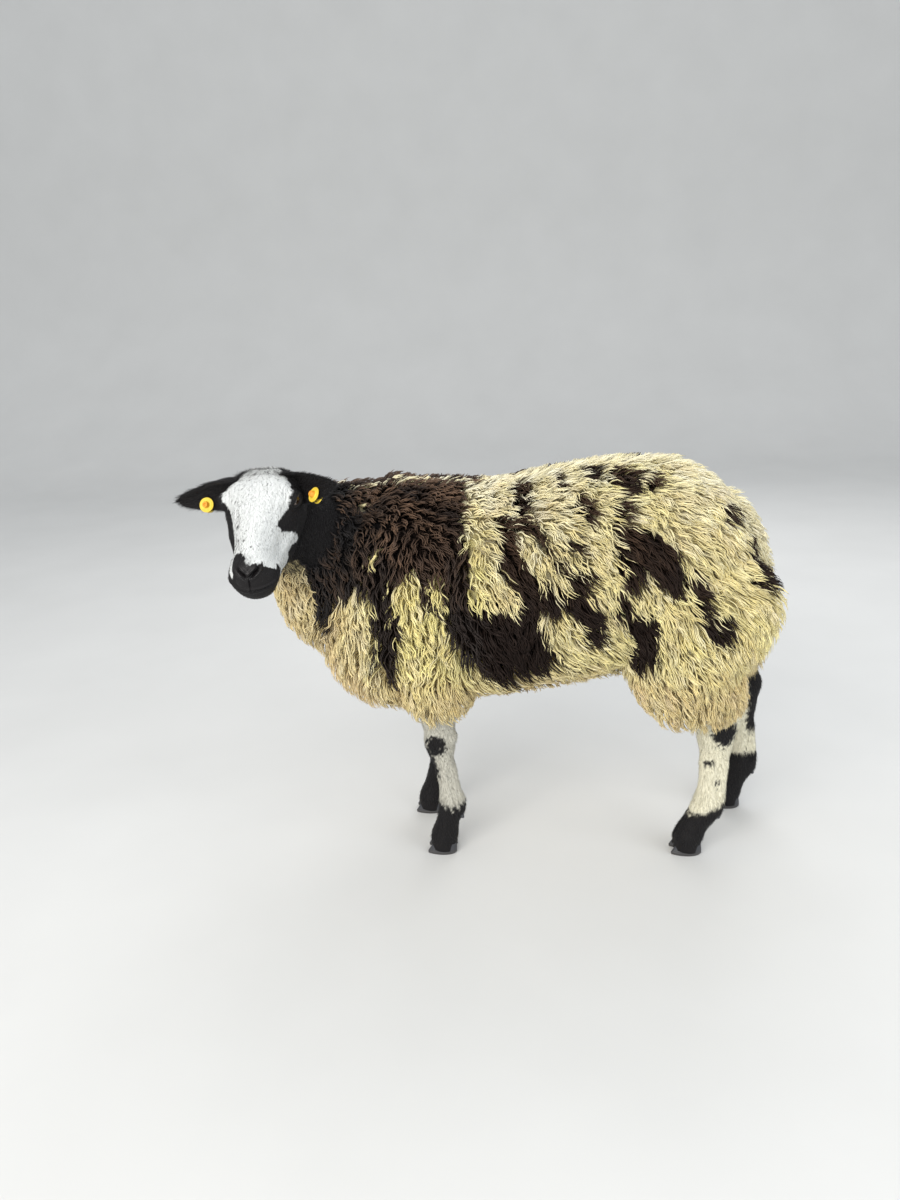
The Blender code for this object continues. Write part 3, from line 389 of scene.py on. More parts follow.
def put_mesh(name, points, *face_sets):
    """A mesh object from arrays of points and of three- or four-cornered faces, facing outwards."""
    face_sets = [faces for faces in face_sets if len(faces)]
    if sum(volume_of(points, faces) for faces in face_sets) < 0:
        face_sets = [faces[:, ::-1] for faces in face_sets]
    mesh = bpy.data.meshes.new(name)
    mesh.vertices.add(len(points))
    mesh.vertices.foreach_set("co", np.ascontiguousarray(points, np.float32).ravel())
    corners = np.concatenate([faces.ravel() for faces in face_sets]).astype(np.int32)
    sizes = np.concatenate([np.full(len(faces), faces.shape[1]) for faces in face_sets]).astype(np.int32)
    starts = np.concatenate([[0], np.cumsum(sizes)[:-1]]).astype(np.int32)
    mesh.loops.add(len(corners))
    mesh.loops.foreach_set("vertex_index", corners)
    mesh.polygons.add(len(sizes))
    mesh.polygons.foreach_set("loop_start", starts)
    mesh.polygons.foreach_set("loop_total", sizes)
    mesh.update(calc_edges=True)
    mesh.validate()
    mesh.shade_smooth()
    obj = bpy.data.objects.new(name, mesh)
    bpy.context.scene.collection.objects.link(obj)
    return obj


def join_forms(parts):
    """Points and faces of several forms put one after another: a list of (points, quads, triangles)."""
    points, quads, fans, start = [], [], [], 0
    for some, four, three in parts:
        points.append(some)
        quads.append(np.asarray(four).reshape(-1, 4) + start)
        fans.append(np.asarray(three, int).reshape(-1, 3) + start)
        start += len(some)
    return np.concatenate(points), np.concatenate(quads), np.concatenate(fans)


def mesh_points(mesh):
    """All points of a mesh as an array."""
    flat = np.empty(len(mesh.vertices) * 3, np.float32)
    mesh.vertices.foreach_get("co", flat)
    return flat.reshape(-1, 3).astype(float)


def mesh_triangles(mesh):
    """The corners of a mesh's triangles as an array."""
    mesh.calc_loop_triangles()
    flat = np.empty(len(mesh.loop_triangles) * 3, np.int32)
    mesh.loop_triangles.foreach_get("vertices", flat)
    return flat.reshape(-1, 3)


def store_colour(mesh, name, values):
    """One colour per point, kept on the mesh under a name."""
    layer = mesh.color_attributes.new(name, "FLOAT_COLOR", "POINT")
    rows = np.ones((len(values), 4), np.float32)
    rows[:, : values.shape[1]] = values
    layer.data.foreach_set("color", rows.ravel())


def store_number(mesh, name, values):
    """One number per point, kept on the mesh under a name."""
    layer = mesh.attributes.new(name, "FLOAT", "POINT")
    layer.data.foreach_set("value", np.ascontiguousarray(values, np.float32))


def wool_depth(points):
    """Depth of the fleece on trunk and neck: least on the back, more on the sides, most on the chest."""
    x, z = points[..., 0], points[..., 2]
    depth = WOOL_BACK + (WOOL_SIDE - WOOL_BACK) * ease(0.68, 0.60, z)
    return depth + (WOOL_CHEST - depth) * ease(-0.24, -0.36, x) * ease(0.70, 0.60, z)


def neck_wool(points):
    """Depth of the fleece on the neck, which thins towards the head."""
    far = np.linalg.norm(points - EYE_LINE, axis=-1)
    return wool_depth(points) * (0.12 + 0.88 * ease(0.115, 0.26, far))


def leg_wool(points, normals, side, ends):
    """Depth of the fleece on a leg: none below its lower end, and little on the leg's inner face."""
    outer = ease(-0.5, 0.3, normals[..., 1] * side)
    full = WOOL_INNER + (WOOL_SIDE - WOOL_INNER) * outer
    full = full * (1 - 0.45 * ease(0.1, 0.9, np.abs(normals[..., 0])) * ease(0.47, 0.38, points[..., 2]))
    return full * ease(ends[0], ends[1], points[..., 2])


def wool_ends(name):
    """The heights between which the wool of a leg thins away to its short hair."""
    return WOOL_ENDS_HIND if name.startswith("hind") else WOOL_ENDS_FORE


def wool_forms(share):
    """Trunk, neck, tail and legs, each puffed along its normals by a share of the fleece's depth.

    Below the wool's lower end a leg is drawn in a little, so that it hides inside the finer bare leg.
    """
    forms = []
    grid = trunk_grid(72, 60)
    forms.append(grid + grid_normals(grid) * (wool_depth(grid) * share)[..., None])
    grid = limb_grid(NECK, 56, 40, NECK_CAPS, None)
    forms.append(grid + grid_normals(grid) * (neck_wool(grid) * share)[..., None])
    grid = limb_grid(TAIL, 36, 30, TAIL_CAPS, (0.0, 1.0, 0.0))
    forms.append(grid + grid_normals(grid) * TAIL_WOOL * share)
    for name, (_, side, _, _) in LEGS.items():
        ends = wool_ends(name)
        upper = leg_rows(name)[: 7 if name.startswith("hind") else 6]
        grid = limb_grid(upper, 48, 60, (LEG_CAPS[0], 0.012), (0.0, 1.0, 0.0))
        normals = grid_normals(grid)
        depth = leg_wool(grid, normals, side, ends) * share
        depth = depth - 0.0045 * ease(ends[0] + 0.02, ends[0] - 0.01, grid[..., 2])
        forms.append(grid + normals * depth[..., None])
    return forms


def remeshed(name, forms, voxel, smooth):
    """One closed skin over overlapping forms: a voxel remesh, then smoothing, both applied."""
    made = put_mesh(name, *join_forms([closed_form(grid) for grid in forms]))
    remesh = made.modifiers.new("one skin", "REMESH")
    remesh.mode = "VOXEL"
    remesh.voxel_size = voxel
    even = made.modifiers.new("even", "SMOOTH")
    even.factor = 0.5
    even.iterations = smooth
    ready = made.evaluated_get(bpy.context.evaluated_depsgraph_get())
    mesh = bpy.data.meshes.new_from_object(ready)
    points = mesh_points(mesh)
    sizes, starts = np.empty(len(mesh.polygons), np.int32), np.empty(len(mesh.polygons), np.int32)
    corners = np.empty(len(mesh.loops), np.int32)
    mesh.polygons.foreach_get("loop_total", sizes)
    mesh.polygons.foreach_get("loop_start", starts)
    mesh.loops.foreach_get("vertex_index", corners)
    quads = corners[starts[sizes == 4][:, None] + np.arange(4)]
    fans = corners[starts[sizes == 3][:, None] + np.arange(3)]
    bpy.data.objects.remove(made)
    bpy.data.meshes.remove(mesh)
    return points, quads, fans


def segment_distance(points, ends_a, ends_b):
    """Least distance from each point to a line's straight pieces, and the share along the line there."""
    best = np.full(points.shape[:-1], 1e9)
    where = np.zeros(points.shape[:-1])
    for k, (a, b) in enumerate(zip(ends_a, ends_b)):
        way = b - a
        t = np.clip(((points - a) @ way) / max(way @ way, 1e-12), 0.0, 1.0)
        far = np.linalg.norm(points - a - t[..., None] * way, axis=-1)
        where = np.where(far < best, (k + t) / len(ends_a), where)
        best = np.minimum(best, far)
    return best, where


def line_distance(points, line):
    """Least distance from each point to a line of places, and the share along it."""
    line = np.asarray(line, float)
    return segment_distance(points, line[:-1], line[1:])


def leg_grid(name):
    """The bare leg, from inside the wool to the coronet, with its joints, tendons and hollows.

    Each point of the plain limb is moved along its normal by the sum of soft hills: the knob and point
    of the hock or the flat knee, the tendon behind the cannon, the hollow beside it and the fetlock.
    """
    _, side, _, _ = LEGS[name]
    rows = leg_rows(name)
    knots, length = line_knots(rows)
    top = np.interp(0.36, rows[::-1, 2], knots[::-1])
    shares = np.concatenate([np.linspace(top, 1 - 0.002 / length, 88), [0.9985]])
    grid = limb_grid(rows, 48, 0, LEG_CAPS, (0.0, 1.0, 0.0), shares)
    normals = grid_normals(grid)
    z = grid[..., 2]
    middle = hermite(rows, knots, shares)[:, None, :3]
    away = unit(grid - middle)
    back, out = away[..., 0], away[..., 1] * side
    hind = name.startswith("hind")
    joint = 0.232 if hind else 0.222
    move = np.zeros_like(z)
    cannon = ease(joint - 0.035, joint - 0.055, z) * ease(0.092, 0.112, z)
    # tendon behind the cannon, and the hollows between it and the bone
    move += cannon * (0.0034 * ease(0.80, 1.0, back) - 0.0022 * bump(back - 0.42, 0.42))
    move += cannon * 0.0009 * ease(0.75, 1.0, -back)
    # fetlock: two round knobs at the back, a hollow between them
    fetlock = bump(z - 0.092, 0.024)
    move += fetlock * 0.0026 * ease(0.2, 0.8, back) * ease(0.0, 0.35, np.abs(away[..., 1]))
    move -= bump(z - 0.066, 0.018) * 0.0022 * ease(0.3, 1.0, back)
    # coronet band above the hoof
    move += bump(z - 0.033, 0.010) * 0.0012
    if hind:
        move += bump(z - 0.268, 0.034) * 0.0075 * ease(0.66, 1.0, back)
        move -= bump(z - 0.300, 0.040) * 0.0060 * bump(back - 0.45, 0.5)
        move += bump(z - 0.232, 0.030) * 0.0022 * ease(0.25, 0.8, np.abs(away[..., 1]))
        move -= bump(z - 0.205, 0.022) * 0.0014 * ease(0.5, 1.0, -back)
    else:
        move += bump(z - 0.226, 0.026) * 0.0022 * ease(0.55, 1.0, -back)
        move += bump(z - 0.206, 0.014) * 0.0016 * ease(0.4, 0.9, -back) * np.abs(away[..., 1])
        move += bump(z - 0.238, 0.016) * 0.0040 * ease(0.60, 1.0, back)
        move -= bump(z - 0.198, 0.018) * 0.0020 * ease(0.55, 1.0, back)
        move += bump(z - 0.285, 0.045) * 0.0024 * ease(0.2, 0.9, -back) * ease(-0.2, 0.6, out)
    # the foot parts into two toes: a groove down the middle, before and behind
    toes = ease(0.078, 0.045, z)
    move -= toes * 0.0062 * bump(away[..., 1], 0.30) * ease(0.2, 0.9, np.abs(back))
    return grid + normals * move[..., None]


def purse_grid():
    """The purse: two rounded lobes in one skin, hanging from a narrow neck, in fine folds."""
    low_end = 0.62 + 0.379 * np.sin(np.linspace(0.06, 1, 22) * math.pi / 2)
    shares = np.concatenate([np.linspace(0.0, 0.60, 26), low_end])
    turns = round_turns(56)
    share = shares[:, None]
    neck = 0.42 + 0.58 * ease(0.15, 0.62, share)
    opened = neck * np.sqrt(np.maximum(1 - np.maximum(share - 0.62, 0.0) ** 2 / 0.38 ** 2, 0.0009))
    cleft = 1 - 0.16 * ease(0.4, 0.7, share) * np.abs(np.sin(turns)) ** 6
    folds = 1 + 0.010 * np.sin(7 * turns + 20 * share) * np.sin(60 * share)
    return np.stack(
        [
            PURSE_TOP[0] + 0.012 * share + 0.80 * PURSE_HALF_WIDTH * opened * np.sin(turns) * cleft * folds,
            PURSE_HALF_WIDTH * opened * np.cos(turns) * folds,
            PURSE_TOP[2] - PURSE_DROP * share + 0 * turns,
        ],
        axis=-1,
    )


def to_world(local):
    """Places given forward, left and up from the eye line, in the body's directions."""
    local = np.asarray(local, float)
    return EYE_LINE + local[..., :1] * FORWARD + local[..., 1:2] * LEFT + local[..., 2:3] * CROWN


def to_head(points):
    """Places in the body's directions as forward, left and up from the eye line."""
    away = np.asarray(points, float) - EYE_LINE
    return np.stack([away @ FORWARD, away @ LEFT, away @ CROWN], axis=-1)


def eye_frame(side):
    """An eye in the head's directions: its middle, its look, and the long and high ways of its lids."""
    look = unit((EYE_LOOK[0], side * EYE_LOOK[1], EYE_LOOK[2]))
    long_way = np.array((0.96, 0.0, -0.20))
    long_way = unit(long_way - look * (long_way @ look))
    high_way = np.cross(look, long_way)
    high_way = high_way * np.sign(high_way[2])
    return np.array((0.0, side * EYE_OUT, 0.0)), look, long_way, high_way


def crowded(low, high, count, places):
    """Numbers from low to high, closer together round some places: (place, spread, weight) each."""
    fine = np.linspace(low, high, 4001)
    weight = np.ones_like(fine)
    for place, spread, more in places:
        weight += more * np.exp(-(((fine - place) / spread) ** 2))
    sums = np.concatenate([[0.0], np.cumsum((weight[1:] + weight[:-1]) / 2)])
    return np.interp(np.linspace(0, sums[-1], count), sums, fine)


def plain_head(forward, turns):
    """The head without details: rows of flattened ovals, broad at the forehead, narrow over the nose."""
    knots = (HEAD[:, 0] - HEAD[0, 0]) / (HEAD[-1, 0] - HEAD[0, 0])
    length = HEAD[-1, 0] - HEAD[0, 0]
    shares = (forward - HEAD[0, 0]) / length
    a, crown, chin, half, widest = hermite(HEAD, knots, shares).T[:, :, None]
    opened = opened_ends(shares, length, HEAD_CAPS)[:, None]
    nose = ease(0.0, 0.09, a)
    power = 2 / (2.5 - 0.25 * nose)
    across, up = oval(turns[None], power)
    taper = 1 - (0.08 + 0.16 * nose) * np.clip(up, 0, 1) - 0.13 * np.clip(-up, 0, 1) ** 1.5
    high = np.where(up > 0, crown - widest, widest - chin)
    middle = (crown + chin) / 2 * (1 - opened)
    level = middle + (widest + up * high) * opened
    return np.stack([a + 0 * across, across * half * taper * opened, level], -1)


def on_surface(grid, line):
    """Each place of a line moved out or in, along the way from the middle of the muzzle, on to the head."""
    flat = grid.reshape(-1, 3)
    found = []
    for forward, left, level in line:
        middle = np.array((min(forward, 0.120), 0.0, level))
        way = unit(np.array((forward, left, level)) - middle)
        near = unit(flat - middle) @ way
        best = np.argsort(-near)[:4]
        far = np.linalg.norm(flat[best] - middle, axis=1).mean()
        found.append(middle + way * far)
    return np.array(found)


def hill(points, place, reach, height):
    """A soft hill round a place, squashed by its own reach along each of the head's directions."""
    d = (points - np.asarray(place)) / np.asarray(reach)
    return height * bump(np.linalg.norm(d, axis=-1), 1.0)


# Forms of the face, on both sides and then down its middle: place, reach each way, height
FACE_PAIRS = (
    ((-0.010, 0.046, 0.016), (0.030, 0.026, 0.014), 0.0034),
    ((-0.026, 0.054, -0.060), (0.055, 0.040, 0.050), 0.0040),
    ((0.040, 0.046, -0.034), (0.042, 0.020, 0.010), 0.0026),
    ((0.078, 0.020, 0.022), (0.060, 0.009, 0.012), 0.0013),
    ((0.078, 0.040, -0.018), (0.040, 0.020, 0.018), -0.0026),
    ((0.030, 0.046, 0.004), (0.014, 0.020, 0.016), -0.0014),
    ((0.128, 0.034, -0.022), (0.026, 0.018, 0.016), 0.0022),
    ((0.120, 0.026, -0.062), (0.040, 0.026, 0.018), 0.0014),
)
FACE_MIDDLE = (
    ((0.146, 0.0, -0.050), (0.030, 0.036, 0.030), 0.0040),
    ((0.158, 0.0, -0.026), (0.024, 0.030, 0.016), 0.0030),
    ((0.000, 0.0, 0.030), (0.040, 0.012, 0.020), -0.0012),
)


def face_relief(grid):
    """Height of the head's larger forms over its plain shape, as a sum of soft hills and hollows.

    They are the brow over each eye, the cheek muscle, the crest below the eye, the edges of the nose,
    the hollow beside it, the swell of the lips and the chin.
    """
    mirrored = grid * np.array((1.0, 0.0, 1.0)) + np.abs(grid) * np.array((0.0, 1.0, 0.0))
    pairs = sum(hill(mirrored, *form) for form in FACE_PAIRS)
    return pairs + sum(hill(grid, *form) for form in FACE_MIDDLE)


def lid_relief(grid, normals, side):
    """How far the skin rises over an eye: out to a ball round it, with creases round the lids.

    The way out is the distance along the normal to the ball, smoothed where ball and cheek meet.
    """
    centre, look, long_way, high_way = eye_frame(side)
    away = grid - (centre + look * 0.0005)
    along = (away * normals).sum(axis=-1)
    inside = along ** 2 - ((away ** 2).sum(axis=-1) - LID_RADIUS ** 2)
    reach = np.where(inside > 0, -along + np.sqrt(np.maximum(inside, 0.0)), -0.02)
    front = (away @ look) > -0.012
    reach = np.where(front, reach, -0.02)
    soft = 0.0022
    rise = np.where(reach > soft, reach, np.where(reach < -soft, 0.0, (reach + soft) ** 2 / (4 * soft)))
    u, v = away @ long_way, away @ high_way
    ring = np.sqrt((u / 1.25) ** 2 + (v / 0.86) ** 2)
    near = ease(0.034, 0.022, ring) * ease(0.0105, 0.0135, ring) * (along > -0.03)
    near = near * ease(-0.010, 0.0, away @ look)
    creases = np.sin((ring - 0.0118) * 2 * math.pi / 0.0046 + 1.2 * u / 0.02)
    weight = np.where(v < 0, 0.00075, 0.00055)
    return rise + near * weight * creases


def lid_edge(side, turns):
    """The almond line of the lids: cosine along the eye, sine over it, made lower towards the corners."""
    _, _, long_way, high_way = eye_frame(side)
    along = np.cos(turns)
    high = np.sin(turns) * (1 - 0.25 * np.abs(along))
    return along[..., None] * LID_OPEN_LONG * long_way + high[..., None] * LID_OPEN_HIGH * high_way


def open_lids(points, side):
    """Points of the skin inside the almond between the lids, sunk behind the eyeball."""
    centre, look, long_way, high_way = eye_frame(side)
    away = points - centre
    u, v = away @ long_way / LID_OPEN_LONG, away @ high_way / LID_OPEN_HIGH
    room = np.sqrt(np.maximum(1 - u * u, 0.0)) * (1 - 0.25 * np.abs(u))
    inside = np.where(np.abs(u) < 1, np.abs(v) / np.maximum(room, 1e-6), 9.0)
    inside = np.maximum(inside, np.abs(u))
    share = ease(1.04, 0.80, inside) * ((away @ look) > 0)
    far = np.linalg.norm(away, axis=-1)
    goal = np.minimum(far, EYE_RADIUS - 0.0030)
    return centre + away * (1 + share * (goal / np.maximum(far, 1e-9) - 1))[..., None]


def muzzle_relief(grid, mouth_lines, nostril_lines, philtrum):
    """Depth of the mouth, nostrils and the groove below the nose, and the rims that rise beside them."""
    move = np.zeros(grid.shape[:-1])
    for line in mouth_lines:
        far, where = line_distance(grid, line)
        level = grid[..., 2] - np.interp(where, np.linspace(0, 1, len(line)), line[:, 2])
        move -= 0.0034 * bump(far, 0.0024)
        move += 0.0016 * bump(far - 0.0042, 0.0030) * np.where(level > 0, 1.0, 0.55)
    for line in nostril_lines:
        far, where = line_distance(grid, line)
        size = np.interp(where, [0, 0.33, 0.75, 1], [0.55, 1.0, 0.85, 0.4])
        move -= 0.0080 * bump(far, 0.0034) * size
        move += 0.0022 * bump(far - 0.0050, 0.0038) * size
    far, _ = line_distance(grid, philtrum)
    move -= 0.0024 * bump(far, 0.0018)
    return move


def head_grid():
    """The whole head as one closed grid, with its relief, lids, nostrils and mouth."""
    back, front = HEAD[0, 0], HEAD[-1, 0]
    details = [(0.0, 0.018, 1.6), (0.14, 0.03, 0.8)]
    forward = np.concatenate([
        back + HEAD_CAPS[0] * (1 - np.cos(np.linspace(0.05, 1, 12) * math.pi / 2)),
        crowded(back + HEAD_CAPS[0], front - HEAD_CAPS[1], 132, details)[1:-1],
        front - HEAD_CAPS[1] * (1 - np.sin(np.linspace(0, 0.96, 34) * math.pi / 2)),
    ])
    eyes = [(0.18, 0.30, 1.5), (math.pi - 0.18, 0.30, 1.5)]
    turns = crowded(-math.pi / 2, 3 * math.pi / 2, 217, eyes)[:-1]
    grid = plain_head(forward, turns)
    normals = grid_normals(grid)
    grid = grid + normals * face_relief(grid)[..., None]
    sides = (1, -1)
    mirror = {side: np.array((1.0, side, 1.0)) for side in sides}
    mouths = [on_surface(grid, MOUTH * mirror[side]) for side in sides]
    nostrils = [on_surface(grid, NOSTRIL * mirror[side]) for side in sides]
    philtrum = on_surface(grid, [(0.170, 0.0, level) for level in (-0.008, -0.018, -0.029)])
    normals = grid_normals(grid)
    lift = sum(lid_relief(grid, normals, side) for side in sides)
    move = lift + muzzle_relief(grid, mouths, nostrils, philtrum)
    grid = grid + normals * move[..., None]
    for side in sides:
        grid = open_lids(grid, side)
    return to_world(grid)


def ring_tube(centres, profile_a, profile_b, radius_a, radius_b, steps=8):
    """A closed tube along a closed line: an oval profile set in two given directions at each place."""
    turns = round_turns(steps)
    return (
        centres[:, None]
        + profile_a[:, None] * (np.cos(turns) * radius_a)[None, :, None]
        + profile_b[:, None] * (np.sin(turns) * radius_b)[None, :, None]
    )


def ring_form(grid):
    """Points and faces of a tube that closes on itself both ways."""
    rings, sides = grid.shape[:2]
    i, j = np.meshgrid(np.arange(rings), np.arange(sides), indexing="ij")
    n, k = (i + 1) % rings, (j + 1) % sides
    quads = np.stack([i * sides + j, i * sides + k, n * sides + k, n * sides + j], -1).reshape(-1, 4)
    points = grid.reshape(-1, 3)
    if volume_of(points, quads) < 0:
        quads = quads[:, ::-1]
    return points, quads, np.zeros((0, 3), int)


def lid_line(side, turns, lift):
    """The almond line of the lids laid on the eyeball, lifted off it a little, and its flat shape."""
    centre, look, _, _ = eye_frame(side)
    flat = lid_edge(side, turns)
    height = np.sqrt(np.maximum((EYE_RADIUS + lift) ** 2 - (flat ** 2).sum(axis=1), 1e-8))
    return centre + flat + look * height[:, None], flat


def lid_rim(side):
    """The bare edge of the lids: a tube along their almond line, lying on the eyeball."""
    centres, _ = lid_line(side, round_turns(64), 0.0010)
    outward = unit(centres - eye_frame(side)[0])
    along = unit(np.roll(centres, -1, axis=0) - np.roll(centres, 1, axis=0))
    across = np.cross(along, outward)
    return to_world(ring_tube(centres, across, outward, 0.0014, 0.0017))


def ear_surface(side, along, across):
    """Places on an ear, a cupped leaf, and its outward directions: from root to tip, between its edges.

    Half width swells and tapers as a power of a sine, and the cup closes from 112 degrees at the root
    to 46 degrees, so that the root is nearly a tube.
    """
    axis = unit(EAR_AXES[side])
    faces = np.array(EAR_FACES[side])
    faces = unit(faces - axis * (axis @ faces))
    width = np.cross(axis, faces)
    root = to_world((EAR_ROOT[0], side * EAR_ROOT[1], EAR_ROOT[2]))
    leaf = np.sin(math.pi * np.minimum(0.16 + 0.84 * along, 0.9995) ** 0.80) ** 0.62
    half = EAR_HALF_WIDTH * (0.10 + 0.90 * leaf) * (1 - 0.12 * along)
    half = half * (1 - ease(0.93, 1.0, along) * 0.7)
    cup = np.radians(112 - 66 * ease(0.0, 0.6, along))
    radius = np.where(cup < math.pi / 2, half / np.sin(np.minimum(cup, math.pi / 2)), half)
    turn = cup * across
    droop = -0.010 * np.sin(math.pi / 2 * along)
    place = root + axis * (EAR_LENGTH * along - 0.012 * (1 - along))[..., None]
    place = place + width * (radius * np.sin(turn))[..., None]
    place = place + faces * (radius * (1 - np.cos(turn)))[..., None]
    place = place + np.array((0, 0, 1.0)) * droop[..., None]
    return place, width * np.sin(turn)[..., None] - faces * np.cos(turn)[..., None]


def ear_grid(side):
    """An ear's rings. Each runs over its outer face and back over its inner face, which has fine veins."""
    along = np.concatenate([np.linspace(0, 0.93, 46), [0.955, 0.975, 0.99, 0.999]])[:, None]
    across = np.cos(np.linspace(math.pi, 0, 25))
    across = np.concatenate([across, across[::-1]])[None]
    outer = np.concatenate([np.ones(25), np.zeros(25)])[None]
    edge = np.sqrt(np.maximum(1 - across ** 4, 0.0))
    place, outward = ear_surface(side, along, across)
    thick = EAR_THICK * (1 - 0.45 * along) * (0.5 + (outer - 0.5) * (0.25 + 0.75 * edge))
    veins = 0.0005 * np.sin(9 * across + 5 * along) * (1 - outer) * ease(0.1, 0.3, along)
    return place + outward * (thick + veins)[..., None]


def shared_place():
    """How far the figure is moved into the shared frame: from its left eye here to the node's."""
    low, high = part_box("eye_left")
    return tuple((np.array(low) + np.array(high)) / 2 - to_world((0.0, EYE_OUT, 0.0)))


PLACE = shared_place()

# Colours of hair and wool, linear
CREAM = (0.89, 0.78, 0.42)
IVORY = (0.91, 0.86, 0.66)
LEMON = (0.88, 0.79, 0.34)
TAN = (0.62, 0.42, 0.21)
CHOCOLATE = (0.017, 0.0095, 0.0070)
SOOT = (0.010, 0.009, 0.0095)
WHITE_HAIR = (0.74, 0.755, 0.745)
GREY_HAIR = (0.50, 0.49, 0.45)

# Middle of the body's rounds at places along X, from which the angle of a marking is measured
ROUND_X = (-0.52, -0.486, -0.462, -0.42, -0.365, -0.30, -0.13, 0.00, 0.11, 0.19, 0.24, 0.277, 0.35)
ROUND_Y = (-0.19, -0.145, -0.10, -0.048, -0.015, 0, 0, 0, 0, 0, 0, 0, 0)
ROUND_Z = (0.70, 0.68, 0.64, 0.60, 0.56, 0.51, 0.514, 0.537, 0.553, 0.558, 0.551, 0.532, 0.50)
HALF_ROUND = 0.58

# Outlines of markings on the left side: place along X, then the share of the way from spine to belly.
# Later ones lie over earlier ones.
DARK, PALE = 1, 0
LEFT_MARKS = (
    (DARK, ((-0.446, 0.30), (-0.393, 0.10), (-0.36, 0.44), (-0.361, 0.61), (-0.406, 0.70),
        (-0.426, 0.87), (-0.447, 0.78), (-0.467, 0.60))),
    (DARK, ((-0.415, -0.12), (-0.16, -0.10), (-0.168, 0.10), (-0.172, 0.36), (-0.183, 0.52),
        (-0.241, 0.52), (-0.298, 0.46), (-0.346, 0.65), (-0.386, 0.60), (-0.400, 0.35))),
    (PALE, ((-0.330, 0.32), (-0.336, 0.37), (-0.322, 0.345))),
    (PALE, ((-0.364, 0.12), (-0.368, 0.18), (-0.355, 0.15))),
    (DARK, ((-0.225, 0.455), (-0.125, 0.485), (-0.028, 0.47), (0.036, 0.52), (0.037, 0.64),
        (-0.028, 0.68), (-0.131, 0.74), (-0.196, 0.64), (-0.219, 0.55))),
    (PALE, ((-0.367, 0.52), (-0.332, 0.50), (-0.350, 0.65), (-0.37, 0.80), (-0.425, 0.86),
        (-0.40, 0.66))),
    (PALE, ((-0.300, 0.40), (-0.254, 0.37), (-0.223, 0.46), (-0.210, 0.58), (-0.190, 0.72),
        (-0.213, 0.86), (-0.275, 0.86), (-0.300, 0.62), (-0.312, 0.49))),
    (DARK, ((-0.331, 0.46), (-0.302, 0.43), (-0.298, 0.58), (-0.312, 0.76), (-0.338, 0.74),
        (-0.332, 0.56))),
    (DARK, ((-0.262, 0.36), (-0.232, 0.33), (-0.216, 0.42), (-0.232, 0.50), (-0.252, 0.46))),
    (PALE, ((-0.243, 0.385), (-0.222, 0.395), (-0.210, 0.455), (-0.224, 0.48), (-0.241, 0.44))),
    (DARK, ((-0.130, 0.22), (-0.104, 0.26), (-0.060, 0.28), (-0.030, 0.40), (-0.040, 0.50),
        (-0.093, 0.49), (-0.126, 0.38))),
    (DARK, ((-0.104, 0.035), (-0.070, 0.08), (-0.075, 0.22), (-0.088, 0.27), (-0.101, 0.22))),
    (PALE, ((-0.190, 0.03), (-0.128, 0.10), (-0.134, 0.31), (-0.133, 0.42), (-0.164, 0.38),
        (-0.185, 0.27), (-0.182, 0.18))),
    (PALE, ((-0.142, 0.40), (-0.122, 0.42), (-0.100, 0.47), (-0.106, 0.50), (-0.130, 0.47))),
    (PALE, ((-0.102, 0.28), (-0.073, 0.30), (-0.043, 0.38), (-0.034, 0.44), (-0.047, 0.46),
        (-0.075, 0.40), (-0.098, 0.34))),
    (PALE, ((-0.086, 0.14), (-0.022, 0.21), (0.039, 0.31), (0.052, 0.42), (0.036, 0.49),
        (-0.011, 0.36), (-0.049, 0.28))),
    (DARK, ((-0.026, 0.35), (0.004, 0.35), (0.024, 0.44), (0.014, 0.50), (-0.020, 0.47))),
    (PALE, ((-0.019, 0.36), (0.000, 0.38), (0.009, 0.425), (-0.003, 0.43), (-0.016, 0.40))),
    (DARK, ((-0.033, 0.06), (-0.014, 0.10), (-0.018, 0.17), (-0.034, 0.15))),
    (DARK, ((0.019, 0.03), (0.050, 0.07), (0.042, 0.155), (0.018, 0.13))),
    (DARK, ((0.000, 0.205), (0.028, 0.225), (0.032, 0.295), (0.010, 0.30), (-0.001, 0.25))),
    (DARK, ((0.064, 0.075), (0.103, 0.13), (0.102, 0.225), (0.073, 0.235), (0.059, 0.17))),
    (DARK, ((0.110, 0.125), (0.139, 0.14), (0.137, 0.225), (0.114, 0.22))),
    (DARK, ((0.062, 0.235), (0.085, 0.26), (0.080, 0.325), (0.062, 0.325))),
    (DARK, ((0.066, 0.33), (0.117, 0.345), (0.157, 0.40), (0.172, 0.53), (0.140, 0.525), (0.112, 0.46),
        (0.099, 0.48), (0.076, 0.535), (0.064, 0.42))),
    (DARK, ((0.064, 0.495), (0.085, 0.51), (0.078, 0.58), (0.059, 0.56))),
    (DARK, ((0.177, 0.485), (0.196, 0.485), (0.205, 0.54), (0.213, 0.60), (0.243, 0.58),
        (0.241, 0.645), (0.215, 0.65), (0.192, 0.61), (0.180, 0.55))),
    (DARK, ((0.234, 0.22), (0.262, 0.175), (0.254, 0.29), (0.234, 0.295))),
    (DARK, ((0.068, 0.56), (0.117, 0.585), (0.129, 0.65), (0.128, 0.72), (0.107, 0.76), (0.085, 0.70))),
    (PALE, ((-0.059, 0.52), (-0.013, 0.53), (0.012, 0.63), (-0.003, 0.71), (-0.045, 0.64))),
    (DARK, ((0.277, 0.22), (0.302, 0.24), (0.340, 0.28), (0.345, 0.42), (0.307, 0.49), (0.289, 0.48),
        (0.287, 0.35))),
)
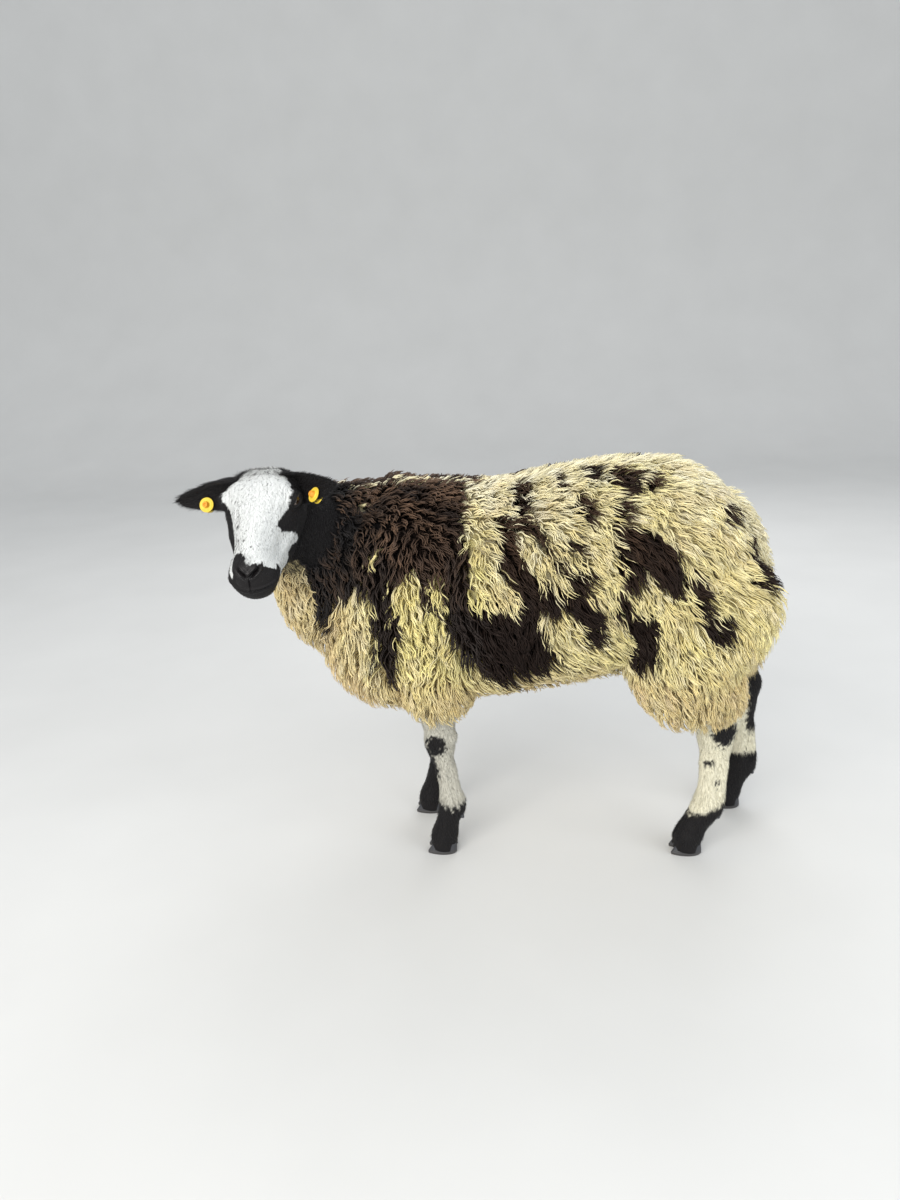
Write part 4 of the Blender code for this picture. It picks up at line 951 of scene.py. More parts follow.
# The right side carries patches of the same kind in its own arrangement
RIGHT_MARKS = (
    (DARK, ((-0.46, 0.20), (-0.38, 0.10), (-0.33, 0.40), (-0.36, 0.62), (-0.42, 0.84), (-0.47, 0.60))),
    (DARK, ((-0.415, -0.12), (-0.15, -0.10), (-0.176, 0.14), (-0.150, 0.33), (-0.178, 0.49),
        (-0.260, 0.57), (-0.330, 0.50), (-0.380, 0.62), (-0.402, 0.35))),
    (PALE, ((-0.318, 0.20), (-0.296, 0.22), (-0.290, 0.31), (-0.312, 0.33), (-0.325, 0.27))),
    (PALE, ((-0.215, 0.36), (-0.185, 0.38), (-0.190, 0.47), (-0.222, 0.50), (-0.240, 0.43))),
    (DARK, ((-0.120, 0.04), (-0.086, 0.05), (-0.082, 0.20), (-0.104, 0.27), (-0.122, 0.18))),
    (DARK, ((-0.190, 0.56), (-0.090, 0.47), (0.000, 0.50), (0.030, 0.60), (-0.030, 0.72),
        (-0.140, 0.70))),
    (PALE, ((-0.110, 0.55), (-0.070, 0.54), (-0.050, 0.61), (-0.085, 0.66), (-0.118, 0.62))),
    (DARK, ((-0.060, 0.26), (-0.024, 0.24), (-0.010, 0.34), (-0.040, 0.42), (-0.070, 0.36))),
    (DARK, ((-0.045, 0.06), (-0.012, 0.05), (-0.002, 0.14), (-0.036, 0.17))),
    (DARK, ((0.034, 0.12), (0.066, 0.10), (0.080, 0.20), (0.048, 0.25), (0.028, 0.20))),
    (DARK, ((0.020, 0.34), (0.050, 0.31), (0.066, 0.40), (0.040, 0.46), (0.018, 0.42))),
    (DARK, ((0.100, 0.05), (0.134, 0.06), (0.140, 0.14), (0.108, 0.16))),
    (DARK, ((0.098, 0.28), (0.160, 0.26), (0.186, 0.36), (0.170, 0.50), (0.120, 0.54), (0.090, 0.42))),
    (PALE, ((0.122, 0.34), (0.146, 0.34), (0.150, 0.41), (0.128, 0.42))),
    (DARK, ((0.196, 0.18), (0.226, 0.15), (0.236, 0.25), (0.206, 0.30))),
    (DARK, ((0.088, 0.62), (0.132, 0.60), (0.150, 0.70), (0.110, 0.76))),
    (DARK, ((0.205, 0.46), (0.240, 0.44), (0.252, 0.56), (0.220, 0.62), (0.200, 0.54))),
    (DARK, ((0.290, 0.30), (0.340, 0.34), (0.345, 0.46), (0.300, 0.46))),
)

# White blaze of the face: place forward, then the way round the head from its crown, to the left
BLAZE = (
    (-0.088, 0.004), (-0.074, 0.026), (-0.044, 0.040), (-0.010, 0.0440), (0.010, 0.0440), (0.018, 0.0490),
    (0.026, 0.0500), (0.036, 0.0465), (0.050, 0.0400), (0.059, 0.0405), (0.060, 0.0540), (0.048, 0.0740),
    (0.030, 0.1000), (0.024, 0.1180), (0.038, 0.1130), (0.056, 0.1020), (0.068, 0.1060), (0.066, 0.1400),
    (0.100, 0.1500), (0.112, 0.1000), (0.116, 0.0720), (0.111, 0.0665), (0.117, 0.0635), (0.128, 0.0640),
    (0.131, 0.0530), (0.135, 0.0417), (0.1375, 0.0310), (0.133, 0.0265), (0.138, 0.0190), (0.140, 0.0100),
    (0.141, -0.0020), (0.127, -0.0060), (0.120, -0.0155), (0.115, -0.0280), (0.116, -0.0390),
    (0.128, -0.0440), (0.144, -0.0430), (0.146, -0.0560), (0.112, -0.0600), (0.090, -0.0480),
    (0.066, -0.0440), (0.044, -0.0415),
    (0.014, -0.0480), (-0.020, -0.0480), (-0.046, -0.0360), (-0.066, -0.0300), (-0.088, -0.0200),
)
# Dark spots in the blaze: place forward, place round the head, radius
FACE_SPOTS = (
    (0.100, -0.010, 0.0024), (0.049, -0.021, 0.0018), (0.083, -0.006, 0.0020), (0.112, 0.004, 0.0020),
    (-0.027, -0.016, 0.0018), (0.066, -0.026, 0.0022), (0.020, -0.030, 0.0014), (0.092, -0.024, 0.0022),
)


def outline_distance(points, outline):
    """Distance in the plane from points to a closed outline, positive inside it."""
    corners = np.asarray(outline, float)
    ends = np.roll(corners, -1, axis=0)
    best = np.full(len(points), 1e9)
    inside = np.zeros(len(points), bool)
    for a, b in zip(corners, ends):
        way = b - a
        t = np.clip(((points - a) @ way) / max(way @ way, 1e-12), 0.0, 1.0)
        best = np.minimum(best, np.linalg.norm(points - a - t[:, None] * way, axis=1))
        rises = (a[1] > points[:, 1]) != (b[1] > points[:, 1])
        with np.errstate(divide="ignore", invalid="ignore"):
            crossing = a[0] + (points[:, 1] - a[1]) * way[0] / way[1]
        inside ^= rises & (points[:, 0] < crossing)
    return np.where(inside, best, -best)


def ripple(points, size, seed, waves=9):
    """A smooth random number at each place, about -1 to 1: a sum of sines in many directions."""
    dice = np.random.default_rng(seed)
    ways = unit(dice.normal(size=(waves, 3)))
    ways = ways * (2 * math.pi / (size * dice.uniform(0.7, 1.5, waves)))[:, None]
    return np.sin(points @ ways.T + dice.uniform(0, 2 * math.pi, waves)).sum(axis=1) / math.sqrt(waves)


def round_angle(points):
    """The way round the body: 0 on the spine, 0.5 mid side, 1 on the belly, negative on the right."""
    x = points[:, 0]
    middle_y, middle_z = np.interp(x, ROUND_X, ROUND_Y), np.interp(x, ROUND_X, ROUND_Z)
    return np.arctan2(-(points[:, 1] - middle_y), points[:, 2] - middle_z) / math.pi


def body_dark(points):
    """How dark the wool is at places on the body, 0 to 1, from the outlines with ragged edges."""
    share = round_angle(points)
    ragged = 0.0035 * ripple(points, 0.018, 5) + 0.0020 * ripple(points, 0.007, 6)
    dark = np.zeros(len(points))
    for marks, side in ((LEFT_MARKS, 1), (RIGHT_MARKS, -1)):
        flat = np.stack([points[:, 0], share * side * HALF_ROUND], axis=1)
        here = share * side > -0.13
        side_dark = np.zeros(len(points))
        for tone, outline in marks:
            corners = np.array(outline) * (1.0, HALF_ROUND)
            cover = ease(-0.0016, 0.0016, outline_distance(flat, corners) + ragged)
            side_dark = side_dark + (tone - side_dark) * cover
        mix = ease(-0.004, 0.004, share * side * HALF_ROUND)
        dark = dark + (side_dark - dark) * np.where(here, mix, 0.0)
    off_spine = share * HALF_ROUND + 0.002 * ripple(points, 0.03, 8)
    spine = bump(off_spine, 0.0105) * ease(-0.42, -0.38, points[:, 0])
    dark = dark * (1 - ease(0.25, 0.6, spine) * ease(-0.07, -0.09, points[:, 0]))
    local = to_head(points)
    far = np.linalg.norm(local + (0.03, 0.0, 0.02), axis=1) + ragged
    head = ease(0.190, 0.165, far) * ease(-0.125, -0.112, local[:, 2] + 2 * ragged)
    return np.maximum(dark, head)


def leg_place(points, name):
    """Place on a leg: how far to the front and to the outer side of its middle line, each about -1 to 1."""
    x, y, deep, half = leg_section(name, points[:, 2])
    return (x - points[:, 0]) / deep, (points[:, 1] - y) * LEGS[name][1] / half


def oval_patch(across, up, ragged=0.0, core=0.8):
    """A soft oval patch: 1 where the distance, made ragged, is under its core, and 0 where it is over 1."""
    return ease(1.0, core, np.hypot(across, up) + ragged)


def leg_dark(points, name):
    """How dark the hair is at places on a leg, and how grey its pale hair is."""
    front, out = leg_place(points, name)
    z = points[:, 2] + 0.0028 * ripple(points, 0.010, 11) + 0.0030 * ripple(points, 0.005, 12)
    fine = 0.16 * ripple(points, 0.007, 13)
    if name == "fore_leg_left":
        dark = ease(0.114, 0.106, z + 0.010 * np.abs(out))
        knee = oval_patch((z - 0.230) / 0.022, (front - 0.25) / 0.80, fine)
        knee = knee * ease(-0.1, 0.2, out + front)
        strip = ease(0.50, 0.72, front + fine) * ease(0.150, 0.165, z) * ease(0.232, 0.216, z)
        return np.maximum.reduce([dark, knee, strip]), 0.75
    if name == "fore_leg_right":
        sliver = ease(0.95, 0.75, np.hypot((z - 0.220) / 0.036, (front - 0.80) / 0.60) + fine)
        high = ease(0.285, 0.305, z)
        return 1 - np.maximum(sliver, high), 0.3
    if name == "hind_leg_left":
        dark = ease(0.098, 0.088, z + 0.010 * front)
        hock = oval_patch((z - 0.250) / 0.028, (front + 0.35) / 0.75, fine) * ease(-0.3, 0.1, out)
        dots = np.maximum(
            oval_patch((z - 0.186) / 0.007, (out - 0.75) / 0.30, 0.0, 0.7) * ease(-0.2, 0.3, front),
            oval_patch((z - 0.148) / 0.006, (front + 0.30) / 0.30, 0.0, 0.7) * ease(-0.1, 0.2, out),
        )
        return np.maximum.reduce([dark, hock, dots]), 0.12
    rear = ease(-0.20, -0.40, front + fine) * ease(0.42, 0.39, z) * ease(0.155, 0.175, z)
    return np.maximum(ease(0.128, 0.116, z), rear), 0.12


def head_place(points):
    """Places on the head as the way forward and the way round from the crown, positive to the left."""
    local = to_head(points)
    return local, np.stack([local[:, 0], np.arctan2(local[:, 1], local[:, 2] + 0.035) * 0.055], axis=1)


def face_dark(points):
    """How dark the face is: black outside the white blaze, with fine dark flecks inside it."""
    local, flat = head_place(points)
    ragged = 0.0011 * ripple(points, 0.010, 21) + 0.0008 * ripple(points, 0.004, 22)
    white = ease(-0.0008, 0.0008, outline_distance(flat, BLAZE) + ragged)
    for *place, reach in FACE_SPOTS:
        far = np.linalg.norm(flat - place, axis=1) + 0.7 * ragged
        white = white * (1 - 0.9 * ease(reach, reach * 0.6, far))
    return np.maximum(1 - white, muzzle_dark(local, ragged))


def night_tone(points, zone):
    """The dark of the coat: chocolate on the body, black near the head and on short hair."""
    near = ease(0.27, 0.19, np.linalg.norm(points - EYE_LINE, axis=1))
    return mix_tones(CHOCOLATE, SOOT, np.maximum(near, zone > ON_BODY))


def nose_pad(local):
    """Share of bare wet skin, between and round the nostrils down to the upper lip."""
    forward, left, level = local.T
    return ease(0.140, 0.148, forward) * ease(0.024, 0.017, np.abs(left)) * ease(-0.026, -0.020, level)


def muzzle_dark(local, ragged):
    """A grey bridge of mixed hair between the nostrils, ragged at its upper edge."""
    forward, left, _ = local.T
    away = np.abs(left + 0.002)
    bridge = ease(0.118, 0.138, forward + 3 * ragged) * ease(0.012, 0.006, away)
    return 0.42 * bridge


def fleck_chance(points):
    """The chance of a dark hair among the white ones, largest on the poll and right half of the nose."""
    _, flat = head_place(points)
    poll = ease(-0.020, -0.055, flat[:, 0]) * 0.45
    nose = bump(flat[:, 1] + 0.024, 0.022) * ease(0.00, 0.05, flat[:, 0]) * 0.34
    nose = nose + 0.34 * bump(flat[:, 1] + 0.010, 0.016) * ease(0.095, 0.120, flat[:, 0])
    patchy = 0.4 + 1.2 * np.clip(0.5 + ripple(points, 0.012, 44), 0, 1)
    brow = 0.14 * bump(flat[:, 0] + 0.010, 0.035)
    return np.clip(0.030 + (poll + nose + brow) * patchy, 0, 0.7)


def mix_tones(low, high, share):
    """Colours mixed by a share for each place."""
    low, high = np.asarray(low), np.asarray(high)
    return low[None] + (high - low)[None] * np.clip(share, 0, 1)[:, None]


def on_legs(region):
    """Which places are on a leg."""
    return (region > ON_BODY) & (region < ON_HEAD)


def region_of(points):
    """Which region of the coat a place of the wool form has, that of the body or of a leg."""
    region = np.zeros(len(points), int)
    for k, name in enumerate(LEGS):
        low = points[:, 2] < wool_ends(name)[0] + 0.028
        near = (points[:, 0] > 0) == name.startswith("hind")
        own_side = points[:, 1] * LEGS[name][1] > 0
        region[low & near & own_side & (points[:, 0] > -0.36)] = k + 1
    return region


def darkness(points, region):
    """How dark the coat is at places of the body, legs and head, and how grey its pale hair is."""
    dark, grey = np.zeros(len(points)), np.zeros(len(points))
    body = region == ON_BODY
    if body.any():
        dark[body] = body_dark(points[body])
    for k, name in enumerate(LEGS):
        here = region == k + 1
        if here.any():
            dark[here], grey[here] = leg_dark(points[here], name)
    face = region == ON_HEAD
    if face.any():
        dark[face] = face_dark(points[face])
    return dark, grey


def pale_tone(points, region, grey):
    """The pale hair's colour: cream, lemon and tan on the body, the tan partly varying at random and partly
    painted shade on the belly and chest, near white on face and legs.
    """
    share = np.abs(round_angle(points))
    # tan varies at random, and more tan on the belly and chest is painted shade there
    low = ease(0.55, 0.85, share) * ease(0.42, 0.36, points[:, 2])
    chest = ease(-0.34, -0.42, points[:, 0]) * ease(0.66, 0.56, points[:, 2])
    warm = np.clip(0.06 + 0.16 * ripple(points, 0.05, 31) + 0.60 * low + 0.55 * chest, 0, 1)
    tone = mix_tones(IVORY, CREAM, 0.30 + 0.55 * ease(0.10, 0.45, share) + 0.3 * ripple(points, 0.030, 32))
    shoulder = ease(-0.36, -0.32, points[:, 0]) * ease(-0.12, -0.18, points[:, 0])
    lemon = 1.2 * bump(share - 0.50, 0.40) * shoulder
    lemon = lemon + 0.8 * bump(share - 0.22, 0.22) * bump(points[:, 0] - 0.09, 0.11)
    lemon = lemon + 0.45 * bump(share - 0.62, 0.30) * ease(-0.08, 0.0, points[:, 0])
    lemon = np.clip(lemon * (0.60 + 0.45 * ripple(points, 0.028, 33)), 0, 0.85)
    tone = tone + (np.array(LEMON) - tone) * lemon[:, None]
    tone = tone + (np.array(TAN) - tone) * (warm * 0.62)[:, None]
    legs = on_legs(region)
    tone[legs] = mix_tones(IVORY, GREY_HAIR, grey[legs]) * 0.94
    tone[region == ON_HEAD] = WHITE_HAIR
    return tone


# Colours of bare skin, linear
PURSE_PALE = (0.30, 0.19, 0.14)
PURSE_DARK = (0.10, 0.07, 0.06)
LID_TONE = (0.075, 0.070, 0.072)


def facing_out(points, quads, fans):
    """The same closed form with its faces turned outwards."""
    total = volume_of(points, quads)
    if len(fans):
        total += volume_of(points, fans)
    return (points, quads[:, ::-1], fans[:, ::-1]) if total < 0 else (points, quads, fans)


def keep(obj, slot, *nodes):
    """A finished piece: moved into the shared frame, on the one body, in place of the named nodes."""
    obj.data.transform(Matrix.Translation(PLACE))
    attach(obj, "root")
    if nodes:
        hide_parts(*nodes)
    return obj


def skin_forms():
    """All forms of the skin with the region of each: body, legs, head, ears, purse and lid rims."""
    parts = [(remeshed("wool form", wool_forms(UNDERWOOL), 0.0072, 5), ON_BODY)]
    for k, name in enumerate(LEGS):
        parts.append((closed_form(leg_grid(name)), k + 1))
    parts.append((closed_form(head_grid()), ON_HEAD))
    for side in (1, -1):
        parts.append((closed_form(ear_grid(side)), ON_EAR))
    parts.append((closed_form(purse_grid()), ON_PURSE))
    for side in (1, -1):
        parts.append((ring_form(lid_rim(side)), ON_LIDS))
    return [(facing_out(*form), region) for form, region in parts]


def skin_tone(points, region):
    """Colour of the skin and its flat hair, with the same markings as the coat over it."""
    zone = np.where(region == ON_BODY, region_of(points), region)
    dark, grey = darkness(points, np.where(zone > ON_HEAD, UNMARKED, zone))
    pale = pale_tone(points, zone, grey)
    deep = night_tone(points, zone)
    tone = pale + (deep - pale) * dark[:, None]
    # the underwool is painted darker than the hair over it, as painted shade under the locks
    tone[region == ON_BODY] *= 0.86
    tone[region == ON_EAR] = SOOT
    mottle = 0.5 + 0.5 * ripple(points[region == ON_PURSE], 0.02, 41)
    tone[region == ON_PURSE] = mix_tones(PURSE_PALE, PURSE_DARK, mottle)
    tone[region == ON_LIDS] = LID_TONE
    return tone


def eyeball_grid(side):
    """An eyeball: rings round the way it looks, with the clear front standing a little proud."""
    centre, look, long_way, high_way = eye_frame(side)
    polar = np.concatenate([np.linspace(0.02, 0.9, 24), np.linspace(0.96, math.pi - 0.05, 20)])
    turns = round_turns(56)
    round_way = np.cos(turns)[:, None] * long_way + np.sin(turns)[:, None] * high_way
    ways = np.cos(polar)[:, None, None] * look + np.sin(polar)[:, None, None] * round_way[None]
    radius = EYE_RADIUS + 0.0007 * bump(polar, 0.85)
    return to_world(centre + ways * radius[:, None, None]), ways @ long_way, ways @ high_way, ways @ look


def claw_grid(foot, side):
    """One claw: a flat sole, a wall that leans back with fine growth rings, and a sloping top."""
    levels = np.concatenate([[0.0, 0.0, 0.012], np.linspace(0.05, 1.0, 34), [1.0]])[:, None]
    inner = np.concatenate([[0.55, 0.94, 1.0], np.ones(34), [0.55]])[:, None]
    turns = round_turns(48)[None]
    toe = 0.5 * (1 + np.cos(turns))
    swell = 0.90 + 0.10 * np.minimum(levels / 0.16, 1.0) - 0.08 * np.maximum(levels - 0.6, 0.0)
    on_wall = ease(0.05, 0.15, levels) * ease(1.0, 0.9, levels)
    rings = 1 + 0.012 * np.sin(levels * 46 + 0.8 * np.cos(turns)) * on_wall
    ahead = np.cos(turns) * CLAW_LENGTH / 2 * swell * rings * inner - CLAW_LEAN * levels * toe
    wide = np.sin(turns) * CLAW_WIDTH / 2 * swell * (1 - 0.38 * toe ** 2.2) * rings * inner
    middle = side * (CLAW_WIDTH / 2 + CLAW_CLEFT / 2 - 0.0015 * levels)
    top = CORONET_HEIGHT + CORONET_SLOPE * ahead
    return np.stack([foot[0] - ahead, foot[1] + middle + wide, levels * top + 0 * ahead], axis=-1)


def dewclaw_form(name, side):
    """A small horny knob behind the fetlock, a blunt cone that points down and back."""
    x, y, deep, _ = leg_section(name, DEWCLAW_HEIGHT)
    start = np.array((x + deep * 0.78, y + side * 0.0105, DEWCLAW_HEIGHT + 0.003))
    way = unit((0.62, side * 0.12, -0.78))
    t = np.concatenate([[0.0], np.linspace(0.1, 0.999, 12)])
    radius = 0.0068 * np.sqrt(np.maximum(1 - t ** 2.2, 0.0004)) * (1 + 0.03 * np.sin(t * 30))
    turns = round_turns(20)
    across = unit(np.cross(way, (0.0, 1.0, 0.0)))
    over = np.cross(way, across)
    centres = start + way * (t[:, None] * 0.017 - 0.004)
    profile = np.cos(turns)[:, None] * across * 0.8 + np.sin(turns)[:, None] * over
    return facing_out(*closed_form(centres[:, None] + profile[None] * radius[:, None, None]))


def turned_form(centre, axis, profile, steps=56):
    """A turned piece: a profile of radius and height carried round an axis."""
    axis = unit(axis)
    first = unit(np.cross(axis, (0.0, 0.0, 1.0)))
    second = np.cross(axis, first)
    turns = round_turns(steps)
    ways = np.cos(turns)[:, None] * first + np.sin(turns)[:, None] * second
    radius, height = np.asarray(profile, float).T
    grid = centre + ways[None] * radius[:, None, None] + axis * height[:, None, None]
    return facing_out(*closed_form(grid))


def tag_frame(side):
    """The middle of a tag on the ear's inner face, and its outward direction there."""
    inner, outward = ear_surface(side, np.array(TAG_ALONG), np.array(TAG_ACROSS * side))
    return inner, unit(-outward)


def cap_profile():
    """Radius and height of the tag's front: a pin, a round plate with a raised rim, and a hollow boss."""
    low = TAG_CAP_LIFT
    high = low + TAG_CAP_THICK
    top = low + TAG_BOSS_HEIGHT
    rim, boss, pin = TAG_CAP_RADIUS, TAG_BOSS_RADIUS, TAG_PIN_RADIUS
    return (
        (pin * 0.5, 0.0003 - TAG_BACK_DROP), (pin, 0.0007 - TAG_BACK_DROP),
        (pin, low - 0.0002), (pin + 0.0004, low),
        (rim - 0.0006, low), (rim, low + 0.0005), (rim, high - 0.0005), (rim - 0.0005, high),
        (rim - 0.0016, high), (rim - 0.0021, high - 0.0005),
        (boss + 0.0013, high - 0.0005), (boss + 0.0004, high + 0.0001), (boss, high + 0.0009),
        (boss * 0.93, top - 0.0008), (boss * 0.84, top), (boss * 0.52, top),
        (boss * 0.44, top - 0.0004), (boss * 0.38, top - 0.0024), (boss * 0.10, top - 0.0026),
    )


def back_profile():
    """Radius and height of the tag's back: a thin round plate with a low hub."""
    high = -TAG_BACK_DROP
    rim = TAG_BACK_RADIUS
    return (
        (0.0004, high), (rim - 0.0005, high), (rim, high - 0.0004), (rim, high - 0.0011),
        (rim - 0.0006, high - 0.0016), (0.0050, high - 0.0016), (0.0042, high - 0.0019),
        (0.0036, high - 0.0034), (0.0028, high - 0.0038), (0.0004, high - 0.0038),
    )


def nearest(points, seeds, block=4000):
    """The number of the nearest seed to each point, found block by block."""
    points, seeds = points.astype(np.float32), seeds.astype(np.float32)
    squares = (seeds ** 2).sum(axis=1)
    found = []
    for k in range(0, len(points), block):
        found.append(np.argmin(squares - 2 * points[k: k + block] @ seeds.T, axis=1))
    return np.concatenate(found)


def crossed_edges(points, triangles):
    """The cross product of two edges of each triangle: its normal, twice its area long."""
    a, b, c = (points[triangles[:, k]] for k in range(3))
    return np.cross(b - a, c - a)


def point_normals(points, triangles):
    """Normals at the points: the area-weighted sum of the triangles' own."""
    crossed = crossed_edges(points, triangles)
    corners = triangles.T.ravel()
    sums = [np.bincount(corners, np.tile(crossed[:, k], 3), len(points)) for k in range(3)]
    return unit(np.stack(sums, -1))


def weighted_areas(points, triangles, weights):
    """The area of each triangle times the mean weight of its corners."""
    area = np.linalg.norm(crossed_edges(points, triangles), axis=1) / 2
    return area * weights[triangles].mean(axis=1)


def scatter(points, normals, triangles, weights, count, dice):
    """Roots spread over triangles, in even steps along the sum of area times weight."""
    sums = np.cumsum(weighted_areas(points, triangles, weights))
    face = np.searchsorted(sums, (np.arange(count) + dice.random(count)) / count * sums[-1])
    face = np.minimum(face, len(triangles) - 1)
    u, v = dice.random(count), dice.random(count)
    over = u + v > 1
    u, v = np.where(over, 1 - u, u), np.where(over, 1 - v, v)
    shares = np.stack([1 - u - v, u, v], axis=1)[..., None]
    picked = triangles[face]
    root = (points[picked] * shares).sum(axis=1)
    return root, unit((normals[picked] * shares).sum(axis=1)), picked, shares[..., 0]


def flat_on(ways, normals):
    """Directions laid on the surface and made of length one."""
    return unit(ways - normals * (ways * normals).sum(axis=1, keepdims=True))


def turned_on(ways, normals, angles):
    """Directions on the surface turned about its normal by an angle each."""
    return ways * np.cos(angles)[:, None] + np.cross(normals, ways) * np.sin(angles)[:, None]


def hair_paths(root, normal, lie, length, height, curl, t, sink=0.003):
    """Paths of locks, which rise as 1 - (1 - t) squared, run on as t to the 1.3 and coil on the way.

    curl holds the coil's radius, its turns, its starting angle and how far it swings out of the surface.
    """
    rise = height[:, None] * (1 - (1 - t) ** 2) - sink * (1 - t) ** 4
    run = length[:, None] * t ** 1.3
    radius, turns, start, swing = (value[:, None] for value in curl)
    angle = 2 * math.pi * turns * t + start
    open_up = ease(0.0, 0.30, t) * (1 - 0.30 * t)
    side = np.cross(normal, lie)
    across = radius * open_up * np.sin(angle)
    out = radius * open_up * swing * np.cos(angle)
    forth = radius * open_up * 0.5 * np.cos(angle)
    return (
        root[:, None]
        + normal[:, None] * (rise + out)[..., None]
        + lie[:, None] * (run + forth)[..., None]
        + side[:, None] * across[..., None]
    )


def locks(paths, normals, width, flat, share_of_width):
    """Closed three-sided locks along paths: rings that narrow to a point, a flat root and a pointed tip."""
    count, rings = paths.shape[:2]
    along = unit(np.gradient(paths, axis=1))
    side = unit(np.cross(normals[:, None], along))
    over = np.cross(along, side)
    turns = np.array((90.0, 210.0, 330.0)) * math.pi / 180
    half = (width[:, None] * share_of_width[None])[..., None, None]
    ring = paths[:, :, None] + half * (
        np.cos(turns)[None, None, :, None] * side[:, :, None]
        + flat * np.sin(turns)[None, None, :, None] * over[:, :, None]
    )
    points = np.concatenate([ring[:, :-1].reshape(count, -1, 3), paths[:, -1:]], axis=1)
    size = 3 * (rings - 1) + 1
    quads = grid_faces(rings - 1, 3)
    last, tip = 3 * (rings - 2), size - 1
    fans = np.array([[last, last + 1, tip], [last + 1, last + 2, tip], [last + 2, last, tip], [0, 2, 1]])
    starts = (np.arange(count) * size)[:, None, None]
    return points.reshape(-1, 3), (starts + quads).reshape(-1, 4), (starts + fans).reshape(-1, 3), size


def lock_mesh(name, paths, normals, width, flat, narrowing, tones, places, bunch):
    """One coat piece: its locks, their colours along their length, and the map OFBake."""
    points, quads, fans, size = locks(paths, normals, width, flat, narrowing)
    obj = put_mesh(name, points, quads, fans)
    mesh = obj.data
    rings = paths.shape[1]
    ring = np.concatenate([np.repeat(np.arange(rings - 1), 3), [rings - 1]])
    corner = np.concatenate([np.tile(np.arange(3), rings - 1), [1]])
    colours = tones[:, ring].reshape(-1, 3)
    store_colour(mesh, "paint", colours)
    store_number(mesh, "bunch", np.repeat(bunch, size))
    across = (corner - 1) * 0.0010
    along = (ring / (rings - 1) - 0.5) * 0.0024
    flat_places = np.stack([places[:, :1] + across, places[:, 1:] + along], axis=-1).reshape(-1, 2)
    layer = mesh.uv_layers.new(name="OFBake")
    index = np.empty(len(mesh.loops), np.int32)
    mesh.loops.foreach_get("vertex_index", index)
    layer.data.foreach_set("uv", flat_places[index].astype(np.float32).ravel())
    return obj


def coat_piece(name, slot, finish, hair, here):
    """The chosen locks of a group as one finished piece of the coat."""
    chosen = {key: hair[key][here] for key in ("paths", "normals", "width", "tones", "places", "bunch")}
    piece = lock_mesh(name, flat=hair["flat"], narrowing=hair["narrowing"], **chosen)
    finish.give(piece)
    keep(piece, slot)


def map_place(points, region):
    """Where a root lies on the unwrap: the body above, the legs below it, head and ears at the foot."""
    share = round_angle(points)
    u = 0.02 + 0.96 * np.clip((points[:, 0] + 0.62) / 1.04, 0, 1)
    v = 0.50 + 0.48 * np.clip((share + 1) / 2, 0, 1)
    for k, name in enumerate(LEGS):
        here = region == k + 1
        if here.any():
            front, out = leg_place(points[here], name)
            turn = np.arctan2(out, front) / (2 * math.pi) + 0.5
            u[here] = 0.02 + 0.24 * k + 0.22 * turn
            v[here] = 0.26 + 0.20 * np.clip(points[here][:, 2] / 0.36, 0, 1)
    here = region == ON_HEAD
    if here.any():
        local = to_head(points[here])
        u[here] = 0.02 + 0.46 * np.clip((local[:, 0] + 0.10) / 0.28, 0, 1)
        v[here] = 0.12 + 0.10 * np.arctan2(local[:, 1], local[:, 2] + 0.035) / math.pi
    here = region == ON_EAR
    if here.any():
        local = to_head(points[here])
        left = local[:, 1] > 0
        far = np.abs(local[:, 1]) - 0.04
        u[here] = np.where(left, 0.53, 0.77) + 0.21 * np.clip(far / 0.13, 0, 1)
        v[here] = 0.03 + 0.18 * np.clip((local[:, 2] + 0.10) / 0.16, 0, 1)
    return np.stack([u, v], axis=1)


def wool_site_depth(points):
    """Depth of the fleece at places of the underwool, from the nearest place of the forms below it."""
    sites, depths = [], []
    for bare, full in zip(wool_forms(0.0), wool_forms(UNDERWOOL)):
        sites.append(full[::2, ::2].reshape(-1, 3))
        depths.append(np.linalg.norm(full - bare, axis=-1)[::2, ::2].ravel() / UNDERWOOL)
    sites, depths = np.concatenate(sites), np.concatenate(depths)
    return depths[nearest(points, sites)]


def wool_density(points, normals, depth):
    """How closely locks grow: none on bare parts or under the head, fewer between the legs and below."""
    dense = ease(0.010, 0.018, depth)
    dense = dense * (1 - 0.55 * ease(-0.35, -0.85, normals[:, 2]))
    inner = (np.abs(points[:, 1]) < 0.062) & (points[:, 2] < 0.44)
    dense = np.where(inner, dense * 0.30, dense)
    dense = dense * (np.linalg.norm(points - to_world((-0.030, 0.0, -0.045)), axis=1) > 0.058)
    crowd = 1 + 0.55 * ease(-0.14, -0.24, points[:, 0]) * ease(0.44, 0.52, points[:, 2])
    return dense * crowd * (points[:, 2] > 0.262)


def wool_lie(points, normals, noise):
    """The way locks lie: down and back on the flank, down on shoulder and rear, out from the spine."""
    x = points[:, 0]
    back = 0.24 + 0.44 * ease(-0.26, -0.08, x) - 0.22 * ease(0.05, 0.20, x) - 0.22 * ease(0.20, 0.32, x)
    back = back - 0.30 * ease(-0.36, -0.46, x)
    down = np.stack([back, np.zeros_like(x), -np.ones_like(x)], axis=1)
    side = np.sign(points[:, 1] + 1e-6)
    outward = 0.75 * side * ease(0.0, 0.03, np.abs(points[:, 1]))
    top = np.stack([0.62 + 0 * x, outward, -0.1 + 0 * x], axis=1)
    under = np.stack([0.45 + 0 * x, 0.6 * side, -0.5 + 0 * x], axis=1)
    way = down + (top - down) * ease(0.55, 0.92, normals[:, 2])[:, None]
    way = way + (under - way) * ease(-0.55, -0.85, normals[:, 2])[:, None]
    way = flat_on(way, normals)
    return turned_on(way, normals, 0.34 * ripple(points, 0.085, 51) + noise)


